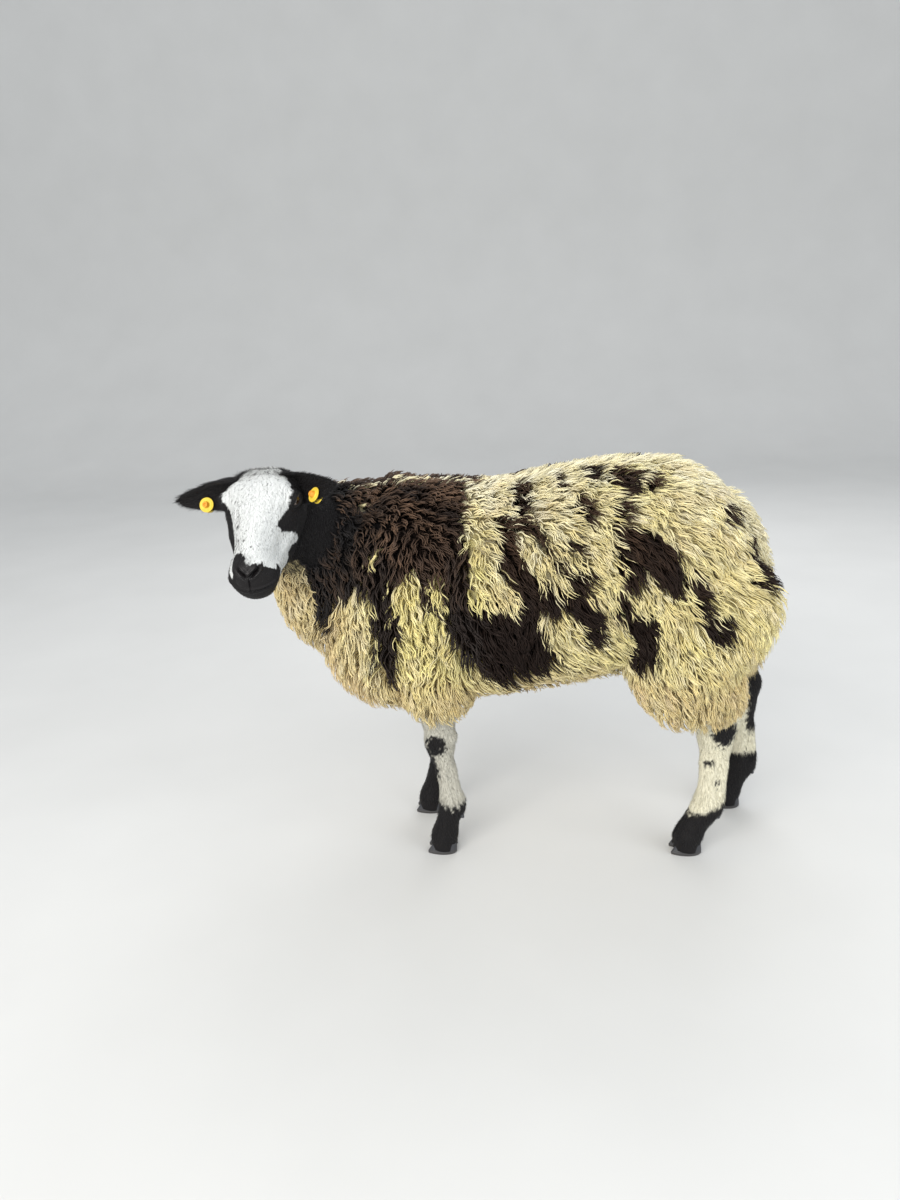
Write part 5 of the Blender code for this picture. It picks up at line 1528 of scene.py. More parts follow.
def curliness(points):
    """1 where the wool lies in short tight curls, on neck and shoulder, falling to 0 on the flank."""
    return ease(-0.12, -0.20, points[:, 0]) * ease(0.34, 0.44, points[:, 2])


# Straight and curled wool. Spacing of the staples, how far a lock is drawn to its staple's tip, length on
# short and on deep fleece, lift as a share of the free depth, the coil's radius, number and swing out of
# the surface, how much thinner a lock is on short fleece, its thickness as a share of its width, and its
# width along its length.
WOOL_KINDS = {
    "straight": {
        "spacing": 0.0105, "draw": 0.46, "length": (0.022, 0.040), "lift": 1.0,
        "radius": 0.0025, "coils": 1.45, "swing": 0.85, "thin": 0.28, "flat": 0.75,
        "narrowing": (0.80, 1.0, 1.0, 0.88, 0.68, 0.38, 0.0),
    },
    "curled": {
        "spacing": 0.0125, "draw": 0.62, "length": (0.018, 0.036), "lift": 1.02,
        "radius": 0.0034, "coils": 1.35, "swing": 0.9, "thin": 0.0, "flat": 0.9,
        "narrowing": (0.8, 1.0, 1.0, 0.98, 0.92, 0.80, 0.62, 0.36, 0.0),
    },
}
LOCK_HALF_WIDTH = 0.00165
BLEACHED_TIP = (0.230, 0.135, 0.082)


def free_length(kind, places, short):
    """Length of locks before they vary: between the kind's two lengths, and less close to the face."""
    low, high = kind["length"]
    near_face = ease(0.08, 0.20, np.linalg.norm(places - EYE_LINE, axis=1))
    return (low + (high - low) * short) * (0.55 + 0.45 * near_face)


def wool_tones(paths, root, bunch, bunches, t, dice):
    """Colours along locks: pale or dark by the markings, the pale locks painted darker towards the root as
    painted shade, with sun-bleached tips on the dark upper wool.
    """
    count, rings = paths.shape[:2]
    look_up = paths[:, int(rings * 0.45)] * 0.6 + root * 0.4
    zone = region_of(root)
    dark, grey = darkness(look_up, zone)
    dark = (dark + dice.normal(0, 0.07, count) > 0.5).astype(float)
    pale = pale_tone(look_up, zone, grey)
    bleach = np.clip((0.62 + 0.50 * ripple(root, 0.06, 61)) * ease(0.50, 0.66, root[:, 2]), 0.0, 1.0)
    bleach = bleach * (0.45 + 0.55 * ease(-0.10, -0.18, root[:, 0])) + 0.02
    shade = dice.uniform(0.80, 1.10, count) * dice.uniform(0.90, 1.08, bunches)[bunch]
    # pale locks are painted darker at the root than at the tip: painted shade at the roots
    light = pale[:, None] * (0.86 + 0.20 * t ** 1.4)[..., None] * shade[:, None, None]
    deep_tone = night_tone(root, zone)[:, None] * shade[:, None, None]
    tip_tone = np.array(BLEACHED_TIP)[None, None] * shade[:, None, None]
    night = deep_tone + (tip_tone - deep_tone) * (bleach[:, None] * t ** 2.2)[..., None]
    return np.clip(light + (night - light) * dark[:, None, None], 0, 1), map_place(root, zone)


def grow_fleece(skin, straight, curled, seed):
    """All locks of the fleece, by kind: paths, normals, widths, colours, map places and bunch numbers.

    Roots that share a bunch lie alike, coil alike and draw together towards one tip, as staples.
    """
    dice = np.random.default_rng(seed)
    points, normals, triangles = skin
    depth = wool_site_depth(points)
    dense = wool_density(points, normals, depth)
    curly = ease(0.35, 0.65, curliness(points))
    plans = (("straight", straight, dense * (1 - curly)), ("curled", curled, dense * curly))
    groups = {}
    for name, count, weights in plans:
        kind = WOOL_KINDS[name]
        root, normal, picked, shares = scatter(points, normals, triangles, weights, count, dice)
        deep = (depth[picked] * shares).sum(axis=1)
        bunches = int(weighted_areas(points, triangles, weights).sum() / kind["spacing"] ** 2)
        seeds, seed_normal, picked, shares = scatter(points, normals, triangles, weights, bunches, dice)
        seed_deep = (depth[picked] * shares).sum(axis=1)
        bunch = nearest(root, seeds)
        t = np.linspace(0, 1, len(kind["narrowing"]))[None]
        noise = dice.normal(0, 0.20, bunches)
        bunch_lie = wool_lie(seeds, seed_normal, noise)
        lie = wool_lie(root, normal, noise[bunch] + dice.normal(0, 0.12, count))
        short = ease(0.006, 0.040, deep)
        bunch_size = dice.uniform(0.80, 1.16, bunches)
        length = free_length(kind, root, short) * bunch_size[bunch] * dice.uniform(0.82, 1.12, count)
        bunch_length = free_length(kind, seeds, ease(0.006, 0.040, seed_deep)) * bunch_size
        under = ease(-0.30, -0.24, root[:, 0]) * ease(0.20, 0.14, root[:, 0])
        hang = ease(-0.15, -0.65, normal[:, 2]) * under
        skirt = ease(0.375, 0.330, root[:, 2])
        length = length * (1 + 0.45 * hang) * (1 - 0.55 * skirt)
        free = (1 - UNDERWOOL) * kind["lift"]
        height = deep * free * (0.84 + 0.20 * dice.random(count)) + 0.013 * hang
        bunch_height = seed_deep * free * dice.uniform(0.92, 1.10, bunches)
        start = dice.uniform(0, 2 * math.pi, bunches)
        coil_turns = kind["coils"] * dice.uniform(0.75, 1.3, bunches)
        coil = kind["radius"] * dice.uniform(0.7, 1.3, bunches)
        own = (
            coil[bunch] * dice.uniform(0.7, 1.3, count), coil_turns[bunch],
            start[bunch] + dice.normal(0, 0.5, count), np.full(count, kind["swing"]),
        )
        whole = (coil, coil_turns, start, np.full(bunches, kind["swing"]))
        paths = hair_paths(root, normal, lie, length, height, own, t)
        guide = hair_paths(seeds, seed_normal, bunch_lie, bunch_length, bunch_height, whole, t)
        pull = (kind["draw"] * dice.uniform(0.75, 1.12, count))[:, None] * ease(0.0, 1.0, t) ** 0.9
        paths = paths + (guide[bunch] - paths) * np.clip(pull, 0, 0.95)[..., None]
        slim = 1 - kind["thin"] * (1 - short)
        width = LOCK_HALF_WIDTH * slim * dice.uniform(0.8, 1.25, count)
        tones, places = wool_tones(paths, root, bunch, bunches, t, dice)
        groups[name] = {
            "paths": paths, "normals": normal, "width": width, "tones": tones, "places": places,
            "bunch": (bunch * 0.618) % 1.0, "flat": kind["flat"], "narrowing": np.array(kind["narrowing"]),
            "roots": root,
        }
    return groups


def face_lie(points, normals, region):
    """The way short hair lies: down the face and out over the cheeks, along the ears, down the legs."""
    local = to_head(points)
    spread = np.clip(local[:, 1] / 0.05, -1, 1)
    up = normals @ CROWN
    forward = 1.0 - 0.55 * ease(-0.02, -0.06, local[:, 0])
    way = forward[:, None] * FORWARD + (0.55 * spread)[:, None] * LEFT
    way = way - (0.45 * ease(0.6, -0.2, up))[:, None] * CROWN
    poll = ease(-0.035, -0.065, local[:, 0]) * ease(0.0, 0.5, up)
    way = way + poll[:, None] * (0.9 * CROWN - 0.2 * FORWARD)
    for side in (1, -1):
        here = (region == ON_EAR) & (local[:, 1] * side > 0)
        way[here] = unit(EAR_AXES[side]) + normals[here] * 0.2
    way[on_legs(region)] = (0.16, 0.0, -1.0)
    way = flat_on(way, normals)
    return turned_on(way, normals, 0.22 * ripple(points, 0.02, 71))


# Length and half width of the tufts of short hair
LEG_HAIR = 0.0085
EAR_HAIR = 0.0100
FACE_HAIR = 0.0068
LEG_HAIR_HALF_WIDTH = 0.00050
FACE_HAIR_HALF_WIDTH = 0.00038
LASH_HALF_WIDTH = 0.00022
LASH_TONE = 0.011


def grow_short_hair(skin, region, count, seed):
    """Short flat tufts on face, poll, ears and legs, a little raised, and the region of each."""
    dice = np.random.default_rng(seed)
    points, normals, triangles = skin
    local = to_head(points)
    weights = np.zeros(len(points))
    weights[region == ON_HEAD] = 1.0
    weights = weights * (1 - 0.45 * ease(0.135, 0.155, local[:, 0])) * (1 - 0.94 * nose_pad(local))
    poll = (region == ON_HEAD) & (local[:, 0] < -0.03) & (local[:, 2] > -0.02)
    weights[poll] = 1.5
    for side in (1, -1):
        centre, look, _, _ = eye_frame(side)
        away = local - centre
        beside = np.linalg.norm(away - look * (away @ look)[:, None], axis=1)
        weights[(beside < 0.0128) & (away @ look > 0)] = 0.0
    for line in (MOUTH, NOSTRIL, MOUTH * (1, -1, 1), NOSTRIL * (1, -1, 1)):
        far, _ = line_distance(local, line)
        weights[far < 0.0075] *= 0.15
    weights[region == ON_EAR] = 1.35
    legs = on_legs(region)
    weights[legs] = 0.46 * ease(0.024, 0.030, points[legs][:, 2])
    bare = region == ON_BODY
    weights[bare] = 0.9 * ease(0.034, 0.024, wool_site_depth(points[bare]))
    low = bare & (points[:, 2] < 0.52)
    weights[low] *= 0.5
    nape = bare & ~low
    region = np.where(nape, ON_HEAD, region)
    inside = np.linalg.norm(points - to_world((-0.075, 0.0, -0.045)), axis=1) < 0.042
    weights[inside & (region == ON_HEAD)] = 0.0
    root, normal, picked, _ = scatter(points, normals, triangles, weights, count, dice)
    zone = region[picked[:, 0]]
    lie = face_lie(root, normal, np.where(zone == ON_BODY, 1, zone))
    lie = turned_on(lie, normal, dice.normal(0, 0.22, count))
    where = to_head(root)
    on_leg = on_legs(zone)
    length = np.where(on_leg, LEG_HAIR, np.where(zone == ON_EAR, EAR_HAIR, FACE_HAIR))
    length = length * dice.uniform(0.75, 1.25, count)
    on_poll = (zone == ON_HEAD) & (where[:, 0] < -0.045) & (where[:, 2] > -0.03)
    length = length * (1 + 0.7 * on_poll)
    length = length * (1 - 0.45 * (zone == ON_HEAD) * ease(0.11, 0.15, where[:, 0]))
    length = length * (1 + 0.9 * nape[picked[:, 0]] + 1.4 * low[picked[:, 0]])
    fringe = on_leg * bump(root[:, 2] - 0.118, 0.016)
    length = length * (1 + 0.5 * fringe)
    height = length * np.where(zone == ON_EAR, 0.26, np.where(on_leg, 0.22, 0.14)) + 0.0003
    height = np.where(on_poll, length * 0.28, height)
    t = np.array((0.0, 1.0))[None]
    none = np.zeros(count)
    paths = hair_paths(root, normal, lie, length, height, (none, none, none, none), t, 0.0004)
    width = np.where(on_leg, LEG_HAIR_HALF_WIDTH, FACE_HAIR_HALF_WIDTH) * dice.uniform(0.7, 1.3, count)
    width = width * (1 + 0.25 * (zone == ON_EAR))
    paint_zone = np.where(zone == ON_EAR, UNMARKED, np.where(zone == ON_BODY, region_of(root), zone))
    dark, grey = darkness(root + lie * 0.003, paint_zone)
    dark = (dark + dice.normal(0, 0.12, count) > 0.5).astype(float)
    flecked = (zone == ON_HEAD) & (dice.random(count) < fleck_chance(root))
    dark = np.where(flecked, 1.0, dark)
    dark[zone == ON_EAR] = 1.0
    pale = pale_tone(root, paint_zone, grey)
    shade = dice.uniform(0.78, 1.12, count)[:, None, None]
    # each tuft, pale or dark, is painted darker at its root than at its tip: painted shade at the roots
    light = pale[:, None] * (0.86 + 0.16 * t)[..., None] * shade
    night = np.array(SOOT)[None, None] * (1 + 0.9 * t[..., None]) * shade
    night = night * (1 + 0.5 * flecked[:, None, None])
    tones = np.clip(light + (night - light) * dark[:, None, None], 0, 1)
    return {
        "paths": paths, "normals": normal, "width": width, "tones": tones, "places": map_place(root, zone),
        "bunch": dice.random(count), "flat": 0.6, "narrowing": np.array((1.0, 0.0)),
    }, zone


def lashes(side, dice, count=46):
    """Lashes: from the upper lid out and slightly down, longest in the middle."""
    _, look, _, high_way = eye_frame(side)
    turns = np.linspace(0.12, math.pi - 0.12, count) + dice.normal(0, 0.02, count)
    root, flat = lid_line(side, turns, 0.0022)
    out = unit(look + 0.5 * unit(flat) + 0.35 * high_way)
    length = 0.0075 * (0.55 + 0.45 * np.sin(turns)) * dice.uniform(0.8, 1.2, count)
    t = np.array((0.0, 0.45, 1.0))[None, :, None]
    bend = -high_way * 0.35
    paths = root[:, None] + (out[:, None] * t + bend * t ** 2) * length[:, None, None]
    paths = to_world(paths)
    upward = unit(high_way @ np.stack([FORWARD, LEFT, CROWN]))
    return {
        "paths": paths, "normals": np.tile(upward, (count, 1)), "width": np.full(count, LASH_HALF_WIDTH),
        "tones": np.full((count, 3, 3), LASH_TONE),
        "places": map_place(paths[:, 0], np.full(count, ON_HEAD)),
        "bunch": np.zeros(count), "flat": 0.8, "narrowing": np.array((1.0, 0.8, 0.0)),
    }


class Value:
    """A socket of numbers in a material. Adding, taking away, multiplying or dividing adds a Math node."""

    def __init__(self, shop, socket):
        self.shop = shop
        self.socket = socket

    def _with(self, operation, first, second=None):
        values = {0: first} if second is None else {0: first, 1: second}
        made = self.shop.node("ShaderNodeMath", {"operation": operation}, values)
        return Value(self.shop, made.outputs[0])

    def __add__(self, other):
        return self._with("ADD", self, other)

    def __radd__(self, other):
        return self._with("ADD", other, self)

    def __sub__(self, other):
        return self._with("SUBTRACT", self, other)

    def __rsub__(self, other):
        return self._with("SUBTRACT", other, self)

    def __mul__(self, other):
        return self._with("MULTIPLY", self, other)

    def __rmul__(self, other):
        return self._with("MULTIPLY", other, self)

    def __truediv__(self, other):
        return self._with("DIVIDE", self, other)

    def __pow__(self, other):
        return self._with("POWER", self, other)

    def root(self):
        return self._with("SQRT", self)

    def size(self):
        return self._with("ABSOLUTE", self)

    def between(self, low, high):
        """0 below low, 1 above high and a smooth rise between."""
        settings = {"interpolation_type": "SMOOTHSTEP", "clamp": True}
        made = self.shop.node("ShaderNodeMapRange", settings, {0: self, 1: low, 2: high, 3: 0.0, 4: 1.0})
        return Value(self.shop, made.outputs[0])


class Finish:
    """A material under construction: one shader, and one method that adds every other node."""

    def __init__(self, name, **fixed):
        self.made = bpy.data.materials.new(name)
        self.made.use_nodes = True
        self.tree = self.made.node_tree
        self.shader = self.tree.nodes["Principled BSDF"]
        for socket, value in fixed.items():
            self.shader.inputs[socket.replace("_", " ")].default_value = value

    def node(self, kind, settings=None, values=None):
        made = self.tree.nodes.new(kind)
        for name, value in (settings or {}).items():
            setattr(made, name, value)
        for key, value in (values or {}).items():
            socket = made.inputs[key]
            if isinstance(value, Value):
                value = value.socket
            if isinstance(value, bpy.types.NodeSocket):
                self.tree.links.new(value, socket)
            else:
                socket.default_value = value
        return made

    def place(self):
        return self.node("ShaderNodeTexCoord").outputs["Object"]

    def number(self, name):
        return Value(self, self.node("ShaderNodeAttribute", {"attribute_name": name}).outputs["Fac"])

    def colour(self, name):
        return self.node("ShaderNodeAttribute", {"attribute_name": name}).outputs["Color"]

    def noise(self, scale, detail=2.0, rough=0.5, where=None):
        values = {"Vector": where or self.place(), "Scale": scale, "Detail": detail, "Roughness": rough}
        return Value(self, self.node("ShaderNodeTexNoise", None, values).outputs["Fac"])

    def stretched(self, scale):
        values = {"Vector": self.place(), "Scale": scale}
        return self.node("ShaderNodeMapping", {"vector_type": "POINT"}, values).outputs["Vector"]

    def shaded_paint(self, shade):
        """The stored colour called paint, times a shade of grey."""
        grey = self.node("ShaderNodeCombineColor", None, {0: shade, 1: shade, 2: shade}).outputs[0]
        self.put(Base_Color=self.mix(1.0, self.colour("paint"), grey, "MULTIPLY"))

    def mix(self, share, low, high, blend="MIX"):
        low = (*low, 1.0) if isinstance(low, tuple) and len(low) == 3 else low
        high = (*high, 1.0) if isinstance(high, tuple) and len(high) == 3 else high
        settings = {"data_type": "RGBA", "blend_type": blend}
        return self.node("ShaderNodeMix", settings, {0: share, 6: low, 7: high}).outputs[2]

    def put(self, **inputs):
        for socket, value in inputs.items():
            value = value.socket if isinstance(value, Value) else value
            self.tree.links.new(value, self.shader.inputs[socket.replace("_", " ")])

    def relief(self, height, strength, distance):
        values = {"Height": height, "Strength": strength, "Distance": distance}
        self.put(Normal=self.node("ShaderNodeBump", None, values).outputs[0])

    def give(self, obj):
        obj.data.materials.clear()
        obj.data.materials.append(self.made)
        return obj


def skin_finish():
    """Underwool and flat hair: the stored markings, mottled, with fine hair relief."""
    made = Finish("underwool and flat hair", IOR=1.4, Specular_IOR_Level=0.25)
    woolly = made.number("woolly")
    hair = made.noise(900.0, 3.0, 0.6, made.stretched((1.0, 1.0, 0.22)))
    tuft = made.noise(190.0, 3.0, 0.55)
    made.shaded_paint(0.62 + 0.55 * hair)
    made.put(Roughness=0.62 + 0.25 * woolly - 0.40 * made.number("wet"))
    made.relief(hair * 0.35 + tuft * (0.25 + 2.2 * woolly), 0.55, 0.0016)
    return made


def fleece_finish(name, gloss):
    """Locks of wool: the colour stored along each lock, streaked a little, dull with a soft sheen."""
    made = Finish(name, IOR=1.45, Specular_IOR_Level=gloss)
    streak = made.noise(1300.0, 2.0, 0.6, made.stretched((1.0, 1.0, 0.3)))
    made.shaded_paint(0.80 + 0.36 * streak)
    made.put(Roughness=0.50 + 0.20 * streak)
    made.relief(streak, 0.35, 0.0006)
    return made


def eye_finish():
    """A wet eye: a dark amber iris with a darker rim, a level slot of a pupil and a dull white."""
    made = Finish("wet eye", IOR=1.376, Coat_Weight=1.0, Coat_Roughness=0.02, Coat_IOR=1.4, Roughness=0.12)
    across, up, out = made.number("across"), made.number("up"), made.number("out")
    far = (across * across + up * up).root()
    iris = 1 - far.between(0.64, 0.70)
    rim = far.between(0.52, 0.66)
    slot = ((across / 0.36) ** 2.0 + (up.size() / 0.15) ** 2.0).root()
    pupil = 1 - slot.between(0.86, 1.04)
    fibres = made.noise(2600.0, 2.0, 0.6)
    amber = made.mix(fibres, (0.014, 0.007, 0.004), (0.034, 0.016, 0.007))
    amber = made.mix(rim, amber, (0.012, 0.008, 0.006))
    amber = made.mix(pupil, amber, (0.002, 0.002, 0.004))
    white = made.mix(made.noise(500.0), (0.12, 0.095, 0.08), (0.20, 0.165, 0.145))
    made.put(Base_Color=made.mix(iris * out.between(0.0, 0.1), white, amber))
    return made


def horn_finish():
    """Slate-grey hoof horn: rings and fine upright fibres, paler and dusty towards the sole."""
    made = Finish("slate hoof horn", IOR=1.54, Specular_IOR_Level=0.45)
    height = made.node("ShaderNodeSeparateXYZ", None, {0: made.place()}).outputs[2]
    level = Value(made, height)
    fibre = made.noise(700.0, 3.0, 0.6, made.stretched((1.0, 1.0, 0.10)))
    rings = made.noise(260.0, 2.0, 0.5, made.stretched((0.12, 0.12, 1.0)))
    tone = made.mix(fibre, (0.014, 0.015, 0.019), (0.052, 0.054, 0.062))
    tone = made.mix((1 - level.between(0.0, 0.014)) * 0.40, tone, (0.080, 0.070, 0.058))
    tone = made.mix(level.between(0.018, 0.026) * 0.35, tone, (0.075, 0.078, 0.085))
    made.put(Base_Color=tone, Roughness=0.30 + 0.30 * fibre)
    made.relief(rings * 0.6 + fibre * 0.4, 0.35, 0.0006)
    return made


def plastic_finish():
    """Yellow ear-tag plastic: slightly clouded, an orange boss, scuffed and a little dirty."""
    made = Finish("yellow tag plastic", IOR=1.48, Specular_IOR_Level=0.45, Subsurface_Weight=0.0)
    boss = made.number("boss")
    cloud = made.noise(160.0, 3.0, 0.6)
    dirt = made.noise(420.0, 4.0, 0.65)
    tone = made.mix(cloud, (0.74, 0.50, 0.035), (0.86, 0.66, 0.075))
    tone = made.mix(boss, tone, (0.80, 0.33, 0.030))
    tone = made.mix(dirt.between(0.58, 0.76) * 0.35, tone, (0.26, 0.18, 0.06))
    made.put(Base_Color=tone, Roughness=0.34 + 0.26 * dirt)
    made.relief(dirt, 0.12, 0.0004)
    return made


def floor_finish(tone):
    """Plain pale matt floor, a little lighter and darker than its tone in soft clouds."""
    made = Finish("pale studio floor", Specular_IOR_Level=0.2)
    cloud = made.noise(3.0, 3.0, 0.5)
    low, high = (tuple(value + change for value in tone) for change in (-0.03, 0.03))
    made.put(Base_Color=made.mix(cloud, low, high), Roughness=0.80 + 0.1 * cloud)
    return made


class LambCoatSettings(bpy.types.PropertyGroup):
    """How full the coat is."""

    flank_locks: bpy.props.IntProperty(
        name="Flank locks",
        description="Number of long locks on back, flank, thighs and tail",
        default=22000,
        min=100,
    )
    neck_curls: bpy.props.IntProperty(
        name="Neck curls",
        description="Number of short curled locks on neck and shoulders",
        default=8400,
        min=100,
    )
    short_tufts: bpy.props.IntProperty(
        name="Short tufts",
        description="Number of tufts of short hair on face, ears and legs",
        default=86000,
        min=100,
    )
    seed: bpy.props.IntProperty(
        name="Seed", description="Which arrangement of locks is grown", default=7, min=0
    )


class LambStageSettings(bpy.types.PropertyGroup):
    """Camera and light."""

    lens: bpy.props.FloatProperty(
        name="Lens", description="Focal length of the camera", default=27.0, min=1.0, unit="CAMERA"
    )
    camera_height: bpy.props.FloatProperty(
        name="Camera height",
        description="Height of the camera over the floor",
        default=0.966,
        unit="LENGTH",
    )
    key_power: bpy.props.FloatProperty(
        name="Key light",
        description="Power of the large soft light",
        default=112.0,
        min=0.0,
        unit="POWER",
    )
    sky: bpy.props.FloatProperty(
        name="Surround light",
        description="Strength of the even light from all round",
        default=0.80,
        min=0.0,
    )
    floor_tone: bpy.props.FloatVectorProperty(
        name="Floor",
        description="Colour of the floor",
        default=(0.63, 0.63, 0.62),
        subtype="COLOR",
        min=0.0,
        max=1.0,
    )


def skin_arrays():
    """The finished skin in the body's own place: points, triangles and the region of each point."""
    obj = bpy.data.objects.get("skin")
    if obj is None:
        raise RuntimeError("the skin has to be made before its coat")
    region = np.empty(len(obj.data.vertices), np.float32)
    obj.data.attributes["region"].data.foreach_get("value", region)
    return mesh_points(obj.data) - np.array(PLACE), mesh_triangles(obj.data), region.round().astype(int)


def part_of_skin(points, triangles, keep_points):
    """The triangles whose points are all kept, with the points that they use and those points' numbers."""
    kept = triangles[keep_points[triangles].all(axis=1)]
    used, index = np.unique(kept, return_inverse=True)
    return points[used], index.reshape(-1, 3), used


class LAMB_OT_skin(bpy.types.Operator):
    """Make the skin: body, neck, head, ears, legs, tail and purse as one piece"""

    bl_idname = "lamb.skin"
    bl_label = "Skin"

    def execute(self, context):
        forms = skin_forms()
        points, quads, fans = join_forms([form for form, _ in forms])
        region = np.concatenate([np.full(len(form[0]), kind) for form, kind in forms])
        skin = put_mesh("skin", points, quads, fans)
        store_colour(skin.data, "paint", skin_tone(points, region))
        store_number(skin.data, "region", region)
        store_number(skin.data, "woolly", (region == ON_BODY) * ease(0.26, 0.30, points[:, 2]))
        store_number(skin.data, "wet", (region == ON_HEAD) * nose_pad(to_head(points)))
        skin_finish().give(skin)
        flesh = ("torso", "neck", "head", "tail", "purse", "ear_left", "ear_right")
        keep(skin, "fleece", *flesh, "thigh_left", "thigh_right", *LEGS)
        return {"FINISHED"}


class LAMB_OT_eyes(bpy.types.Operator):
    """Make the two eyes"""

    bl_idname = "lamb.eyes"
    bl_label = "Eyes"

    def execute(self, context):
        finish = eye_finish()
        for side, word in ((1, "left"), (-1, "right")):
            grid, across, up, out = eyeball_grid(side)
            eye = put_mesh(f"eyeball_{word}", *closed_form(grid))
            poles = np.array((0.0, 0.0))
            store_number(eye.data, "across", np.concatenate([across.ravel() / 0.62, poles]))
            store_number(eye.data, "up", np.concatenate([up.ravel() / 0.62, poles]))
            store_number(eye.data, "out", np.concatenate([out.ravel(), (1.0, -1.0)]))
            finish.give(eye)
            keep(eye, "eye", f"eye_{word}")
        return {"FINISHED"}


class LAMB_OT_hooves(bpy.types.Operator):
    """Make the eight claws and the eight small dewclaws"""

    bl_idname = "lamb.hooves"
    bl_label = "Hooves"

    def execute(self, context):
        finish = horn_finish()
        for name, (_, leg_side, _, _) in LEGS.items():
            foot = leg_rows(name)[-2][:2] - (FOOT_AHEAD, 0.0)
            short = name.replace("_leg_", "_")
            for word, side in (("inner", -leg_side), ("outer", leg_side)):
                claw = put_mesh(f"hoof_{short}_{word}", *closed_form(claw_grid(foot, side)))
                finish.give(claw)
                keep(claw, "claw_horn", f"claw_{short}_{word}")
            pair = join_forms([dewclaw_form(name, side) for side in (1, -1)])
            spurs = put_mesh(f"dewclaws_{short}", *pair)
            finish.give(spurs)
            keep(spurs, "claw_horn")
        return {"FINISHED"}


class LAMB_OT_tags(bpy.types.Operator):
    """Make the bare yellow tag in each ear, front and back"""

    bl_idname = "lamb.tags"
    bl_label = "Ear tags"

    def execute(self, context):
        finish = plastic_finish()
        for side, word in ((1, "left"), (-1, "right")):
            centre, axis = tag_frame(side)
            for piece, profile in (("cap", cap_profile()), ("back", back_profile())):
                form = turned_form(centre, axis, profile)
                made = put_mesh(f"eartag_{word}_{piece}", *form)
                away = form[0] - centre
                height = away @ axis
                far = np.linalg.norm(away - axis * height[:, None], axis=1)
                boss = (far < TAG_BOSS_RADIUS * 1.05) & (height > TAG_CAP_LIFT + TAG_CAP_THICK * 0.9)
                store_number(made.data, "boss", boss.astype(float))
                finish.give(made)
                keep(made, "tag_plastic", f"tag_{word}_{piece}")
        return {"FINISHED"}


class LAMB_OT_fleece(bpy.types.Operator):
    """Grow the fleece: long locks on the body and short curls on neck and shoulders"""

    bl_idname = "lamb.fleece"
    bl_label = "Fleece"

    def execute(self, context):
        settings = context.scene.lamb_coat
        thin = 1
        points, triangles, region = skin_arrays()
        some, faces, _ = part_of_skin(points, triangles, region == ON_BODY)
        wool = (some, point_normals(some, faces), faces)
        straight, curled = settings.flank_locks // thin, settings.neck_curls // thin
        groups = grow_fleece(wool, straight, curled, settings.seed)
        for kind, names, finish in (
            ("straight", ("flank", "rump"), fleece_finish("long wool", 0.22)),
            ("curled", ("neck", "shoulder"), fleece_finish("short curled wool", 0.40)),
        ):
            root = groups[kind]["roots"]
            middle = np.median(root[:, 0])
            for word, side in (("left", root[:, 1] < 0), ("right", root[:, 1] >= 0)):
                for name, end in zip(names, (root[:, 0] < middle, root[:, 0] >= middle)):
                    coat_piece(f"wool_{name}_{word}", "fleece", finish, groups[kind], side & end)
        return {"FINISHED"}


class LAMB_OT_short_hair(bpy.types.Operator):
    """Grow the short hair of face, ears and legs, and the lashes"""

    bl_idname = "lamb.short_hair"
    bl_label = "Short hair"

    def execute(self, context):
        settings = context.scene.lamb_coat
        count = settings.short_tufts // 1
        points, triangles, region = skin_arrays()
        near = (np.linalg.norm(points - EYE_LINE, axis=1) < 0.19) | (points[:, 2] < 0.50)
        kept = (near | (region > ON_BODY)) & (region < ON_PURSE)
        some, faces, used = part_of_skin(points, triangles, kept)
        skin = (some, point_normals(some, faces), faces)
        hair, zone = grow_short_hair(skin, region[used], count, settings.seed + 1)
        finish = fleece_finish("short glossy hair", 0.5)
        coat_piece("face_tufts", "face_hair", finish, hair, zone == ON_HEAD)
        coat_piece("ear_tufts", "ear_hair", finish, hair, zone == ON_EAR)
        coat_piece("leg_tufts", "leg_hair", finish, hair, zone < ON_HEAD)
        dice = np.random.default_rng(settings.seed + 2)
        for side, word in ((1, "left"), (-1, "right")):
            coat_piece(f"lashes_{word}", "face_hair", finish, lashes(side, dice), slice(None))
        return {"FINISHED"}


def floor_mesh():
    """The floor: flat round the animal, rising far behind it as a quarter circle to a backdrop."""
    along = np.linspace(-6.0, 9.0, 60)
    bend, radius = 4.2, 1.8
    arc = np.clip(along - bend, 0.0, radius * math.pi / 2) / radius
    over = np.maximum(along - bend - radius * math.pi / 2, 0.0)
    y = np.minimum(along, bend) + radius * np.sin(arc)
    z = radius * (1 - np.cos(arc)) + over
    x = np.linspace(-7.0, 7.0, 29)
    points = np.stack(np.broadcast_arrays(x[None], y[:, None], z[:, None]), axis=-1)
    i, j = np.meshgrid(np.arange(len(along) - 1), np.arange(len(x) - 1), indexing="ij")
    n = len(x)
    quads = np.stack([i * n + j, i * n + j + 1, (i + 1) * n + j + 1, (i + 1) * n + j], -1).reshape(-1, 4)
    return points.reshape(-1, 3), quads


# Lights: name, place, length of a side, share of the key light's power, colour
LIGHTS = (
    ("key", (-1.2, -2.9, 2.1), 2.6, 1.0, (1.0, 0.97, 0.92)),
    ("fill", (2.6, -1.6, 1.7), 2.2, 0.34, (0.92, 0.96, 1.0)),
    ("rim", (0.6, 2.4, 2.6), 2.0, 0.32, (1.0, 1.0, 1.0)),
)
LIGHT_AIM = (0.05, 0.0, 0.45)
SURROUND_TONE = (0.94, 0.97, 1.0, 1.0)

# Camera: place over the floor, turn towards the head, downward slope and roll
CAMERA_PLACE = (-0.094, -1.592)
CAMERA_YAW = math.atan2(0.08, 0.9968)
CAMERA_PITCH = math.radians(17.0)
CAMERA_ROLL = math.atan(0.05)


